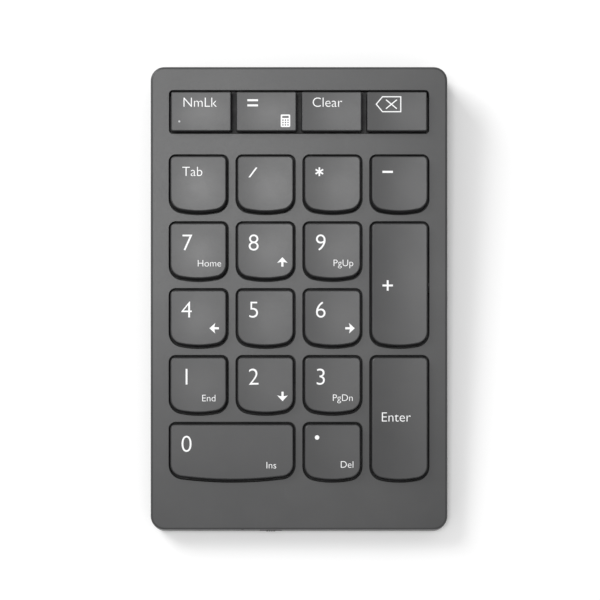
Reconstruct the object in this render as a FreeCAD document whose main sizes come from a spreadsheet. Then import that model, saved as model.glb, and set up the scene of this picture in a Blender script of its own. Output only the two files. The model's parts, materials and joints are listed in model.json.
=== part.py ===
"""Slim wireless numeric keypad: two plastic covers, 21 scissor keys, board, battery and switch.

Row frame: X to the right, Y to the back, Z up, origin on the desk under the middle of the box.
Keys, deck, plate and membrane lie in the deck's own frame, which leans back by the tilt. There
"along" is measured up the deck from its middle, and "up" from the deck's top face.
"""
import FreeCAD, Part
import math
import os
import Sketcher
from FreeCAD import Placement, Rotation, Vector

# alias, millimetres or degrees, meaning
DIMENSIONS = (
    ("pitch", 19.05, "key spacing, both ways"),
    ("body_wide", 84.6, "covers, across"),
    ("body_deep", 132.6, "covers, front to back"),
    ("corner_round", 3.9, "covers' upright corners"),
    ("tilt", 3.5, "lean of the deck"),
    ("front_rise", 7.0, "deck's front edge above the desk"),
    ("front_slope", 0.95, "front wall's run from top to parting line"),
    ("back_slope", 0.1, "rear wall's run from top to parting line"),
    ("cover_drop", 4.4, "top cover, deck face to parting line"),
    ("deck_thick", 1.6, "top cover's deck"),
    ("wall", 1.8, "covers' walls"),
    ("deck_edge", 0.7, "rounding of the deck's rim"),
    ("window_edge", 0.15, "bevel round each key window"),
    ("foot_gap", 0.8, "bottom cover above the desk"),
    ("floor", 1.4, "bottom cover's floor"),
    ("opening_wide", 16.9, "key window, across"),
    ("opening_deep", 17.1, "key window, along"),
    ("opening_back", 1.9, "key window's rear corners"),
    ("opening_front", 4.0, "key window's front corners"),
    ("bow", 0.45, "front edge's bulge, single key"),
    ("bow_long", 0.9, "front edge's bulge, double key"),
    ("row_inset", 33.58, "deck's rear edge to the first full row's middle"),
    ("strip_inset", 12.85, "deck's rear edge to the top row's middle"),
    ("strip_wide", 73.9, "top row's window, across"),
    ("strip_deep", 12.25, "top row's window, along"),
    ("strip_round", 1.0, "top row's window corners"),
    ("strip_pitch", 18.54, "top row's key spacing"),
    ("strip_cap_wide", 17.35, "top row's key, across"),
    ("strip_cap_deep", 11.45, "top row's key, along"),
    ("strip_cap_round", 0.7, "top row's key corners"),
    ("cap_gap", 0.4, "key to window"),
    ("cap_rise", 1.9, "key top above the deck"),
    ("cap_skirt", 1.0, "key skirt below the deck"),
    ("cap_wall", 0.8, "key skirt's thickness"),
    ("cap_ceiling", 0.95, "key's inner face above the deck"),
    ("cap_side", 0.2, "key's side taper"),
    ("cap_front", 0.7, "full key's front taper"),
    ("cap_dish", 0.22, "hollow of the key top"),
    ("cap_edge", 0.3, "rounding of the key top"),
    ("travel", 1.8, "key travel"),
    ("plate_top", 3.4, "support plate's face below the deck"),
    ("plate_thick", 0.6, "support plate"),
    ("film", 0.3, "membrane's three films together"),
    ("plate_half", 36.9, "support plate, half its width"),
    ("plate_front", 53.9, "support plate's front edge from the middle"),
    ("plate_back", 59.2, "support plate's rear edge from the middle"),
    ("lever_low", 2.6, "lever's lower bar below the deck"),
    ("lever_high", 0.4, "lever's upper bar above the deck"),
    ("lever_reach", 5.6, "pivot to bar, full key"),
    ("strip_reach", 3.6, "pivot to bar, top-row key"),
    ("lever_thick", 0.7, "lever frames"),
    ("lever_bar", 0.8, "lever's cross bars"),
    ("lever_side", 1.1, "lever's side bars"),
    ("outer_half", 6.3, "outer lever, half its width"),
    ("inner_half", 5.0, "inner lever, half its width"),
    ("pivot_round", 0.3, "lever pivot pin"),
    ("dome_round", 2.6, "rubber dome's foot"),
    ("wire_round", 0.3, "stabilizer wire"),
    ("wire_half", 12.5, "stabilizer wire, half its span"),
    ("wire_leg", 8.0, "stabilizer wire's legs"),
    ("wire_tip", 1.5, "stabilizer wire's bent ends"),
    ("wire_offset", 6.92, "stabilizer wire from the key's middle"),
    ("wire_high", 0.35, "stabilizer wire's long run above the deck"),
    ("wire_low", 2.75, "stabilizer wire's ends below the deck"),
    ("boss_across", 38.0, "corner screws from the middle line"),
    ("boss_front", 60.5, "front screws from the middle"),
    ("boss_back", 61.8, "rear screws from the middle"),
    ("waist_across", 38.77, "middle screws from the middle line"),
    ("waist_along", 3.9, "middle screws along the deck"),
    ("boss_round", 1.85, "top cover's screw bosses"),
    ("post_round", 2.75, "bottom cover's screw posts"),
    ("screw_round", 0.8, "screw shank"),
    ("screw_head", 1.5, "screw head"),
    ("screw_seat", 1.1, "bottom cover under a screw head, to the parting line"),
    ("stake_round", 0.75, "plastic stakes through the plate"),
    ("board_rise", 2.6, "board's underside above the desk"),
    ("board_thick", 0.8, "board"),
    ("board_left", 35.0, "board's left edge from the middle line"),
    ("board_right", 3.0, "board's right edge from the middle line"),
    ("board_front", 63.2, "board's front edge from the middle"),
    ("board_back", 63.4, "board's rear edge from the middle"),
    ("switch_place", 8.1, "slide switch left of the middle line"),
    ("switch_wide", 6.3, "slide switch's window"),
    ("switch_high", 2.0, "slide switch's height"),
    ("knob_wide", 2.5, "switch knob"),
    ("switch_throw", 1.25, "switch knob, middle to either end"),
    ("lamp_place", 16.1, "status light left of the middle line"),
    ("lamp_round", 0.5, "status light's face"),
    ("socket_place", 19.0, "charging socket left of the middle line"),
    ("socket_wide", 8.94, "charging socket's shell, across"),
    ("socket_high", 3.26, "charging socket's shell, high"),
    ("socket_deep", 7.3, "charging socket's shell, deep"),
    ("socket_skin", 0.3, "charging socket's shell thickness"),
    ("cell_left", 1.5, "battery's left face from the middle line"),
    ("cell_wide", 34.0, "battery, across"),
    ("cell_deep", 52.0, "battery, front to back"),
    ("cell_front", 8.0, "battery's front face from the middle"),
    ("cell_rise", 2.35, "battery's underside above the desk"),
    ("cell_thick", 4.0, "battery"),
    ("foot_across", 28.5, "rubber feet from the middle line"),
    ("foot_along", 58.0, "rubber feet from the middle"),
    ("foot_wide", 13.0, "rubber foot, across"),
    ("foot_deep", 5.0, "rubber foot, front to back"),
    ("foot_sunk", 0.3, "rubber foot's seat in the floor"),
)

# node, column, row, columns covered, rows covered. Row 0 is the top row of low keys.
KEYS = (
    ("key_num_lock", 0, 0, 1, 1),
    ("key_equals", 1, 0, 1, 1),
    ("key_clear", 2, 0, 1, 1),
    ("key_backspace", 3, 0, 1, 1),
    ("key_tab", 0, 1, 1, 1),
    ("key_divide", 1, 1, 1, 1),
    ("key_multiply", 2, 1, 1, 1),
    ("key_minus", 3, 1, 1, 1),
    ("key_7", 0, 2, 1, 1),
    ("key_8", 1, 2, 1, 1),
    ("key_9", 2, 2, 1, 1),
    ("key_plus", 3, 2, 1, 2),
    ("key_4", 0, 3, 1, 1),
    ("key_5", 1, 3, 1, 1),
    ("key_6", 2, 3, 1, 1),
    ("key_1", 0, 4, 1, 1),
    ("key_2", 1, 4, 1, 1),
    ("key_3", 2, 4, 1, 1),
    ("key_enter", 3, 4, 1, 2),
    ("key_0", 0, 5, 2, 1),
    ("key_decimal", 2, 5, 1, 1),
)

doc = FreeCAD.newDocument("numeric_keypad")
sheet = doc.addObject("Spreadsheet::Sheet", "dims")


def fill_sheet():
    """Write each driving dimension, its alias and its meaning in one row."""
    for line, (alias, value, meaning) in enumerate(DIMENSIONS, start=1):
        sheet.set(f"A{line}", alias)
        sheet.set(f"B{line}", str(value))
        sheet.set(f"C{line}", meaning)
        sheet.setAlias(f"B{line}", alias)
    doc.recompute()


def measure(expression):
    """The number that an expression over the sheet's cells gives now."""
    found = sheet.evalExpression(expression)
    return float(getattr(found, "Value", found))


# places worked out from the driving dimensions, as expressions over the sheet
TILT_SIN = "sin(dims.tilt)"
TILT_COS = "cos(dims.tilt)"
RIM_BACK = f"((dims.body_deep / 2 - dims.cover_drop * {TILT_SIN}) / {TILT_COS})"
RIM_FRONT = f"((dims.body_deep / 2 + dims.cover_drop * {TILT_SIN}) / {TILT_COS})"
DECK_BACK = f"({RIM_BACK} - dims.back_slope)"
DECK_FRONT = f"({RIM_FRONT} - dims.front_slope)"
DECK_LEVEL = f"(dims.front_rise + {DECK_FRONT} * {TILT_SIN})"
PLATE_LOW = "(dims.plate_top + dims.plate_thick)"
FLOOR_TOP = "(dims.foot_gap + dims.floor)"
BOARD_TOP = "(dims.board_rise + dims.board_thick)"
SWITCH_MIDDLE = f"({BOARD_TOP} + dims.switch_high / 2)"
SOCKET_MIDDLE = f"({BOARD_TOP} + dims.socket_high / 2)"
FIRST_WEB = f"({DECK_BACK} - dims.row_inset - dims.pitch / 2)"
LEVER_MIDDLE = "((dims.lever_high - dims.lever_low) / 2)"
LEVER_RISE = "((dims.lever_high + dims.lever_low) / 2)"
BOSSES = (
    ("dims.boss_across", "-dims.boss_front", "front_right"),
    ("-dims.boss_across", "-dims.boss_front", "front_left"),
    ("dims.waist_across", "dims.waist_along", "waist_right"),
    ("-dims.waist_across", "dims.waist_along", "waist_left"),
    ("dims.boss_across", "dims.boss_back", "back_right"),
    ("-dims.boss_across", "dims.boss_back", "back_left"),
)


class Key:
    """One key: its name and, as expressions, its place on the deck and its size."""

    def __init__(self, name, column, row, columns, rows):
        self.name = name
        self.low = row == 0
        self.long_way = "x" if columns > 1 else "y" if rows > 1 else ""
        if self.low:
            self.across = f"({column - 1.5} * dims.strip_pitch)"
            self.along = f"({DECK_BACK} - dims.strip_inset)"
            self.wide = "dims.strip_cap_wide"
            self.deep = "dims.strip_cap_deep"
            self.reach = "dims.strip_reach"
            self.slope = "dims.cap_side"
        else:
            self.across = f"({column - 1.5 + (columns - 1) / 2} * dims.pitch)"
            self.along = f"({DECK_BACK} - dims.row_inset - {row - 1 + (rows - 1) / 2} * dims.pitch)"
            self.wide = f"(dims.opening_wide + {columns - 1} * dims.pitch - 2 * dims.cap_gap)"
            self.deep = f"(dims.opening_deep + {rows - 1} * dims.pitch - 2 * dims.cap_gap)"
            self.reach = "dims.lever_reach"
            self.slope = "dims.cap_front"
        self.bow = "dims.bow_long" if columns > 1 else "dims.bow"
        self.lean = f"asin({LEVER_RISE} / {self.reach})"
        self.bar = f"sqrt({self.reach} ^ 2 - {LEVER_RISE} ^ 2)"


KEYCAPS = [Key(*line) for line in KEYS]


# ---- document helpers ----


def new_body(label):
    """An empty body whose label names the node."""
    body = doc.addObject("PartDesign::Body", label)
    body.Label = label
    return body


def lay_on_deck(body, across="0", along="0"):
    """Stand a body on the deck's top face, leaning with it."""
    body.Placement = Placement(Vector(), Rotation(Vector(1, 0, 0), measure("dims.tilt")))
    body.setExpression("Placement.Rotation.Angle", "dims.tilt")
    body.setExpression("Placement.Base.x", across)
    body.setExpression("Placement.Base.y", f"{along} * {TILT_COS}")
    body.setExpression("Placement.Base.z", f"{DECK_LEVEL} + {along} * {TILT_SIN}")


def origin_feature(body, role):
    """One of the body's own axes or planes."""
    return next(f for f in body.Origin.OriginFeatures if f.Role == role)


def new_sketch(body, name, role="XY_Plane", up="0", aside="0", lean="0"):
    """A sketch on one of the body's own planes, moved off it and leaned about its own x."""
    sketch = body.newObject("Sketcher::SketchObject", name)
    sketch.AttachmentSupport = (origin_feature(body, role), [""])
    sketch.MapMode = "FlatFace"
    sketch.AttachmentOffset = Placement(Vector(), Rotation(Vector(1, 0, 0), measure(lean)))
    sketch.setExpression("AttachmentOffset.Base.x", aside)
    sketch.setExpression("AttachmentOffset.Base.z", up)
    if lean != "0":
        sketch.setExpression("AttachmentOffset.Rotation.Angle", lean)
    return sketch


def bind(sketch, expression, kind, *elements):
    """Add one measured constraint that follows an expression."""
    index = sketch.addConstraint(Sketcher.Constraint(kind, *elements, measure(expression)))
    sketch.setExpression(f"Constraints[{index}]", expression)


def draw_circle(sketch, x, y, radius):
    """A circle held by its centre and radius."""
    centre = Vector(measure(x), measure(y), 0)
    circle = sketch.addGeometry(Part.Circle(centre, Vector(0, 0, 1), measure(radius)))
    bind(sketch, x, "DistanceX", -1, 1, circle, 3)
    bind(sketch, y, "DistanceY", -1, 1, circle, 3)
    bind(sketch, radius, "Radius", circle)


def draw_polygon(sketch, corners):
    """A closed outline with straight sides, held corner by corner."""
    points = [Vector(measure(x), measure(y), 0) for x, y in corners]
    sides = [
        sketch.addGeometry(Part.LineSegment(point, points[(i + 1) % len(points)]))
        for i, point in enumerate(points)
    ]
    for i, side in enumerate(sides):
        sketch.addConstraint(Sketcher.Constraint("Coincident", sides[i - 1], 2, side, 1))
        bind(sketch, corners[i][0], "DistanceX", -1, 1, side, 1)
        bind(sketch, corners[i][1], "DistanceY", -1, 1, side, 1)


def draw_box(sketch, left, right, front, back):
    """A square-cornered rectangle, held by its four sides."""
    x0, x1, y0, y1 = (measure(e) for e in (left, right, front, back))
    corners = [Vector(x0, y0, 0), Vector(x1, y0, 0), Vector(x1, y1, 0), Vector(x0, y1, 0)]
    sides = [
        sketch.addGeometry(Part.LineSegment(corner, corners[(i + 1) % 4]))
        for i, corner in enumerate(corners)
    ]
    for i, side in enumerate(sides):
        sketch.addConstraint(Sketcher.Constraint("Coincident", sides[i - 1], 2, side, 1))
        sketch.addConstraint(Sketcher.Constraint("Vertical" if i % 2 else "Horizontal", side))
    bind(sketch, left, "DistanceX", -1, 1, sides[3], 1)
    bind(sketch, right, "DistanceX", -1, 1, sides[1], 1)
    bind(sketch, front, "DistanceY", -1, 1, sides[0], 1)
    bind(sketch, back, "DistanceY", -1, 1, sides[2], 1)


def quarter(centre, radius, start):
    """A quarter circle from a start angle in degrees."""
    circle = Part.Circle(centre, Vector(0, 0, 1), radius)
    return Part.ArcOfCircle(circle, math.radians(start), math.radians(start + 90))


def draw_rounded(sketch, left, right, front, back, radius):
    """A rectangle with round corners, held by its four sides and one radius."""
    x0, x1, y0, y1 = (measure(e) for e in (left, right, front, back))
    r = measure(radius)
    add = sketch.addGeometry
    bottom = add(Part.LineSegment(Vector(x0 + r, y0, 0), Vector(x1 - r, y0, 0)))
    corner_1 = add(quarter(Vector(x1 - r, y0 + r, 0), r, 270))
    right_side = add(Part.LineSegment(Vector(x1, y0 + r, 0), Vector(x1, y1 - r, 0)))
    corner_2 = add(quarter(Vector(x1 - r, y1 - r, 0), r, 0))
    top = add(Part.LineSegment(Vector(x1 - r, y1, 0), Vector(x0 + r, y1, 0)))
    corner_3 = add(quarter(Vector(x0 + r, y1 - r, 0), r, 90))
    left_side = add(Part.LineSegment(Vector(x0, y1 - r, 0), Vector(x0, y0 + r, 0)))
    corner_4 = add(quarter(Vector(x0 + r, y0 + r, 0), r, 180))
    ring = [bottom, corner_1, right_side, corner_2, top, corner_3, left_side, corner_4]
    for i, piece in enumerate(ring):
        sketch.addConstraint(Sketcher.Constraint("Tangent", ring[i - 1], 2, piece, 1))
    for side in (bottom, top):
        sketch.addConstraint(Sketcher.Constraint("Horizontal", side))
    for side in (right_side, left_side):
        sketch.addConstraint(Sketcher.Constraint("Vertical", side))
    for corner in (corner_2, corner_3, corner_4):
        sketch.addConstraint(Sketcher.Constraint("Equal", corner_1, corner))
    bind(sketch, radius, "Radius", corner_1)
    bind(sketch, left, "DistanceX", -1, 1, left_side, 1)
    bind(sketch, right, "DistanceX", -1, 1, right_side, 1)
    bind(sketch, front, "DistanceY", -1, 1, bottom, 1)
    bind(sketch, back, "DistanceY", -1, 1, top, 1)


def draw_smile(sketch, across, along, wide, deep, bow, inset="0", front_inset=None):
    """A key outline: small rear corners, large front corners and a bulging front edge.

    The outline is drawn inset from a key window of the given size.
    """
    front_inset = front_inset or inset
    back_round = f"(dims.opening_back - {inset})"
    front_round = f"(dims.opening_front - {inset})"
    half = f"({wide} / 2 - {inset})"
    reach = f"({half} - {front_round})"
    big_round = f"({reach} ^ 2 / (2 * {bow}) + {bow} / 2 + {front_round})"
    front = f"({along} - {deep} / 2 + {front_inset})"
    big_middle = f"({front} + {big_round})"
    x, x_left, x_right = measure(across), measure(f"{across} - {half}"), measure(f"{across} + {half}")
    y_back, y_big = measure(f"{along} + {deep} / 2 - {inset}"), measure(big_middle)
    r_back, r_front, r_big = measure(back_round), measure(front_round), measure(big_round)
    span = x_right - x - r_front
    drop = math.sqrt((r_big - r_front) ** 2 - span**2)
    y_low = y_big - drop
    swing = math.atan2(span, drop)
    down = 1.5 * math.pi
    up = Vector(0, 0, 1)
    add = sketch.addGeometry
    big = Part.Circle(Vector(x, y_big, 0), up, r_big)
    right_low = Part.Circle(Vector(x_right - r_front, y_low, 0), up, r_front)
    left_low = Part.Circle(Vector(x_left + r_front, y_low, 0), up, r_front)
    ring = [
        add(Part.ArcOfCircle(big, down - swing, down + swing)),
        add(Part.ArcOfCircle(right_low, down + swing, 2 * math.pi)),
        add(Part.LineSegment(Vector(x_right, y_low, 0), Vector(x_right, y_back - r_back, 0))),
        add(quarter(Vector(x_right - r_back, y_back - r_back, 0), r_back, 0)),
        add(Part.LineSegment(Vector(x_right - r_back, y_back, 0), Vector(x_left + r_back, y_back, 0))),
        add(quarter(Vector(x_left + r_back, y_back - r_back, 0), r_back, 90)),
        add(Part.LineSegment(Vector(x_left, y_back - r_back, 0), Vector(x_left, y_low, 0))),
        add(Part.ArcOfCircle(left_low, math.pi, down - swing)),
    ]
    for i, piece in enumerate(ring):
        sketch.addConstraint(Sketcher.Constraint("Tangent", ring[i - 1], 2, piece, 1))
    sketch.addConstraint(Sketcher.Constraint("Vertical", ring[2]))
    sketch.addConstraint(Sketcher.Constraint("Horizontal", ring[4]))
    sketch.addConstraint(Sketcher.Constraint("Vertical", ring[6]))
    sketch.addConstraint(Sketcher.Constraint("Equal", ring[3], ring[5]))
    sketch.addConstraint(Sketcher.Constraint("Equal", ring[1], ring[7]))
    bind(sketch, back_round, "Radius", ring[3])
    bind(sketch, front_round, "Radius", ring[1])
    bind(sketch, big_round, "Radius", ring[0])
    bind(sketch, across, "DistanceX", -1, 1, ring[0], 3)
    bind(sketch, big_middle, "DistanceY", -1, 1, ring[0], 3)
    bind(sketch, f"{across} + {half}", "DistanceX", -1, 1, ring[2], 1)
    bind(sketch, f"{across} - {half}", "DistanceX", -1, 1, ring[6], 1)
    bind(sketch, f"{along} + {deep} / 2 - {inset}", "DistanceY", -1, 1, ring[4], 1)


def pad(body, sketch, length, down=False, both=False):
    """Raise a sketch by a length, downwards or to both sides of its plane if asked."""
    feature = body.newObject("PartDesign::Pad", sketch.Name + "_pad")
    feature.Profile = sketch
    feature.Refine = False
    feature.setExpression("Length", length)
    feature.Reversed = down
    feature.Midplane = both
    sketch.Visibility = False
    return feature


def pocket(body, sketch, length, up=False, both=False):
    """Cut a sketch away by a length, upwards or to both sides of its plane if asked."""
    feature = body.newObject("PartDesign::Pocket", sketch.Name + "_cut")
    feature.Profile = sketch
    feature.Refine = False
    feature.setExpression("Length", length)
    feature.Reversed = up
    feature.Midplane = both
    sketch.Visibility = False
    return feature


def turn_about(body, profile):
    """Turn a sketch once round its own upright axis."""
    feature = body.newObject("PartDesign::Revolution", profile.Name + "_turned")
    feature.Profile = profile
    feature.Refine = False
    feature.ReferenceAxis = (profile, ["V_Axis"])
    feature.Angle = 360
    return feature


def block(name, left, right, front, back, low, high):
    """A plain block between six limits, for a boolean."""
    box = doc.addObject("Part::Box", name)
    box.setExpression("Length", f"{right} - ({left})")
    box.setExpression("Width", f"{back} - ({front})")
    box.setExpression("Height", f"{high} - ({low})")
    box.setExpression("Placement.Base.x", left)
    box.setExpression("Placement.Base.y", front)
    box.setExpression("Placement.Base.z", low)
    return box


def join(label, shapes):
    """The shapes as one."""
    whole = doc.addObject("Part::MultiFuse", label)
    whole.Label = label
    whole.Shapes = shapes
    whole.Refine = False
    return whole


def edges_where(feature, test):
    """Names of a feature's edges that pass a test."""
    doc.recompute()
    return [f"Edge{i}" for i, edge in enumerate(feature.Shape.Edges, start=1) if test(edge)]


def fillet(body, base, names, radius):
    """Round the named edges of a feature."""
    feature = body.newObject("PartDesign::Fillet", base.Name + "_round")
    feature.Base = (base, names)
    feature.setExpression("Radius", radius)
    return feature


def chamfer(body, base, names, size):
    """Bevel the named edges of a feature."""
    feature = body.newObject("PartDesign::Chamfer", base.Name + "_bevel")
    feature.Base = (base, names)
    feature.setExpression("Size", size)
    return feature


def lies_at(height, tolerance=1e-4):
    """A test for edges that lie whole in the body's own level plane at a height."""
    level = measure(height)

    def test(edge):
        box = edge.BoundBox
        return abs(box.ZMin - level) < tolerance and abs(box.ZMax - level) < tolerance

    return test


# ---- keycaps ----


def draw_cap(sketch, key, inset, front_inset):
    """A keycap's outline about its own middle, inset from its foot."""
    if key.low:
        draw_rounded(
            sketch,
            f"-({key.wide}) / 2 + {inset}",
            f"({key.wide}) / 2 - {inset}",
            f"-({key.deep}) / 2 + {front_inset}",
            f"({key.deep}) / 2 - {inset}",
            f"max(dims.strip_cap_round - {inset}; 0.2)",
        )
    else:
        draw_smile(
            sketch,
            "0",
            "0",
            f"({key.wide} + 2 * dims.cap_gap)",
            f"({key.deep} + 2 * dims.cap_gap)",
            key.bow,
            f"(dims.cap_gap + {inset})",
            f"(dims.cap_gap + {front_inset})",
        )


def add_clips(body, key):
    """Hooks under the keycap that hold the levers' upper bars, two at the back, two in front."""
    gap = "dims.lever_bar / 2 + 0.15"
    lip_top = "dims.lever_high - dims.lever_thick / 2 - 0.25"
    for side, offset in (("back", "dims.outer_half - 0.7"), ("front", "2.0")):
        sign = "" if side == "back" else "-"
        for hand, turn in (("left", "-"), ("right", "")):
            sketch = new_sketch(body, f"{key.name}_{side}_{hand}_clip", "YZ_Plane", f"{turn}({offset})")
            inside = f"{sign}({key.bar} - 0.2)"
            face = f"{sign}({key.bar} + {gap})"
            outside = f"{sign}({key.bar} + {gap} + 0.35)"
            hook = [
                (face, "dims.cap_ceiling + 0.2"),
                (outside, "dims.cap_ceiling + 0.2"),
                (outside, f"{lip_top} - 0.35"),
                (inside, f"{lip_top} - 0.35"),
                (inside, lip_top),
                (face, lip_top),
            ]
            draw_polygon(sketch, hook)
            pad(body, sketch, "1.2", both=True)


def add_wire_clips(body, key):
    """Two blocks under a long keycap that the stabilizer wire turns in."""
    role = "YZ_Plane" if key.long_way == "x" else "XZ_Plane"
    for side in ("-", ""):
        lug = new_sketch(body, f"{key.name}_wire_clip", role, f"{side}9")
        drop = "dims.wire_high - 0.15"
        draw_box(lug, "dims.wire_offset - 0.6", "dims.wire_offset + 0.6", drop, "dims.cap_ceiling + 0.2")
        pad(body, lug, "1.4", both=True)
        bore = new_sketch(body, f"{key.name}_wire_bore", role, f"{side}9")
        draw_circle(bore, "dims.wire_offset", "dims.wire_high", "dims.wire_round + 0.05")
        pocket(body, bore, "1.6", both=True)


def make_keycap(key):
    """Tapered cap, hollow below, with a shallow dish and a rounded rim on top."""
    body = new_body(key.name)
    lay_on_deck(body, key.across, key.along)
    foot = new_sketch(body, key.name + "_foot", up="-dims.cap_skirt")
    draw_cap(foot, key, "0", "0")
    crown = new_sketch(body, key.name + "_crown", up="dims.cap_rise")
    draw_cap(crown, key, "dims.cap_side", key.slope)
    solid = body.newObject("PartDesign::AdditiveLoft", key.name + "_block")
    solid.Profile = foot
    solid.Sections = [crown]
    solid.Ruled = True
    dish = new_sketch(body, key.name + "_dish", "XZ_Plane")
    half = f"({key.wide} / 2)"
    radius = f"({half} ^ 2 / (2 * dims.cap_dish))"
    draw_circle(dish, "0", f"dims.cap_rise - dims.cap_dish + {radius}", radius)
    hollowed = pocket(body, dish, "60", both=True)
    low = measure("dims.cap_rise - dims.cap_dish") - 0.01
    rim = edges_where(hollowed, lambda edge: edge.BoundBox.ZMin > low)
    fillet(body, hollowed, rim, "dims.cap_edge")
    inside = new_sketch(body, key.name + "_inside", up="-dims.cap_skirt")
    draw_cap(inside, key, "dims.cap_wall", "(dims.cap_wall + 0.2)")
    pocket(body, inside, "dims.cap_skirt + dims.cap_ceiling", up=True)
    add_clips(body, key)
    if key.long_way:
        add_wire_clips(body, key)
    return body


# ---- scissor levers ----


def make_levers(key):
    """The two crossed frames under one key, pinned together at their middles."""
    body = new_body(key.name.replace("key_", "levers_"))
    lay_on_deck(body, key.across, key.along)
    frames = (
        ("outer", "dims.outer_half", key.lean),
        ("inner", "dims.inner_half", f"-{key.lean}"),
    )
    for name, half, lean in frames:
        frame = new_sketch(body, f"{body.Name}_{name}", up=LEVER_MIDDLE, lean=lean)
        end = f"({key.reach} + dims.lever_bar / 2)"
        draw_rounded(frame, f"-{half}", half, f"-{end}", end, "0.8")
        hole_end = f"({key.reach} - dims.lever_bar / 2)"
        hole_half = f"({half} - dims.lever_side)"
        draw_rounded(frame, f"-{hole_half}", hole_half, f"-{hole_end}", hole_end, "0.5")
        pad(body, frame, "dims.lever_thick", both=True)
    side = "dims.outer_half - dims.lever_side"
    eye = new_sketch(body, body.Name + "_eye", "YZ_Plane", side)
    draw_circle(eye, "0", LEVER_MIDDLE, "0.75")
    eye_pad = pad(body, eye, "dims.lever_side")
    bore = new_sketch(body, body.Name + "_bore", "YZ_Plane", f"{side} - 0.05")
    draw_circle(bore, "0", LEVER_MIDDLE, "dims.pivot_round + 0.06")
    bore_cut = pocket(body, bore, "dims.lever_side + 0.1", up=True)
    pin = new_sketch(body, body.Name + "_pin", "YZ_Plane", "dims.inner_half - 0.2")
    draw_circle(pin, "0", LEVER_MIDDLE, "dims.pivot_round")
    pin_pad = pad(body, pin, "dims.outer_half - dims.inner_half + 0.1")
    mirror = body.newObject("PartDesign::Mirrored", body.Name + "_other_side")
    mirror.Originals = [eye_pad, bore_cut, pin_pad]
    mirror.MirrorPlane = (origin_feature(body, "YZ_Plane"), [""])
    body.Tip = mirror
    return body


# ---- stabilizer wires ----


def wire_path(key):
    """The wire's route in the key's frame: tip, leg, long run, leg, tip, with round bends."""
    half, leg, tip = (measure("dims." + n) for n in ("wire_half", "wire_leg", "wire_tip"))
    offset, high = measure("dims.wire_offset"), measure("dims.wire_high")
    fall = measure("dims.wire_high + dims.wire_low")
    near = offset - math.sqrt(leg**2 - fall**2)
    low = high - fall
    route = [
        Vector(half - tip, near, low),
        Vector(half, near, low),
        Vector(half, offset, high),
        Vector(-half, offset, high),
        Vector(-half, near, low),
        Vector(tip - half, near, low),
    ]
    if key.long_way == "y":
        route = [Vector(p.y, p.x, p.z) for p in route]
    return bent_wire(route, 3 * measure("dims.wire_round"))


def bent_wire(route, radius):
    """Straight runs through the route's points, joined by arcs that touch both runs."""
    edges = []
    start = route[0]
    for before, corner, after in zip(route, route[1:], route[2:]):
        into = (corner - before).normalize()
        out = (after - corner).normalize()
        turn = into.getAngle(out)
        back = radius * math.tan(turn / 2)
        first = corner - into * back
        last = corner + out * back
        aim = (out - into).normalize()
        middle = corner + aim * (radius / math.cos(turn / 2) - radius)
        edges.append(Part.LineSegment(start, first).toShape())
        edges.append(Part.Arc(first, middle, last).toShape())
        start = last
    edges.append(Part.LineSegment(start, route[-1]).toShape())
    return Part.Wire(edges)


def sweep_round(path, radius):
    """A round bar along a path."""
    start = path.Edges[0]
    point = start.valueAt(start.FirstParameter)
    heading = start.tangentAt(start.FirstParameter)
    profile = Part.Wire([Part.Circle(point, heading, radius).toShape()])
    return path.makePipeShell([profile], True, True)


def report_sweep(name, shape, path, radius):
    """Print how near a swept bar's volume is to its section times its length."""
    expected = math.pi * radius**2 * path.Length
    print(f"{name}: volume over section x length {shape.Volume / expected:.4f}, bend radii",
          sorted({round(e.Curve.Radius, 2) for e in path.Edges if hasattr(e.Curve, "Radius")}))


def make_stabilizer(key):
    """A bent spring-steel wire that keeps a long key level."""
    wire = doc.addObject("Part::Feature", key.name.replace("key_", "stabilizer_bar_"))
    wire.Label = wire.Name
    path = wire_path(key)
    radius = measure("dims.wire_round")
    wire.Shape = sweep_round(path, radius)
    report_sweep(wire.Label, wire.Shape, path, radius)
    lay_on_deck(wire, key.across, key.along)
    return wire


# ---- covers ----


def draw_windows(body):
    """Cut the key windows and the top row's window through the deck, and return the last cut."""
    strip = new_sketch(body, "strip_window")
    strip_along = f"{DECK_BACK} - dims.strip_inset"
    draw_rounded(
        strip,
        "-dims.strip_wide / 2",
        "dims.strip_wide / 2",
        f"{strip_along} - dims.strip_deep / 2",
        f"{strip_along} + dims.strip_deep / 2",
        "dims.strip_round",
    )
    last = pocket(body, strip, "dims.deck_thick + 0.5")
    for key in KEYCAPS:
        if key.low:
            continue
        window = new_sketch(body, key.name + "_window")
        wide = f"({key.wide} + 2 * dims.cap_gap)"
        deep = f"({key.deep} + 2 * dims.cap_gap)"
        draw_smile(window, key.across, key.along, wide, deep, key.bow)
        last = pocket(body, window, "dims.deck_thick + 0.5")
    return last


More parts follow.
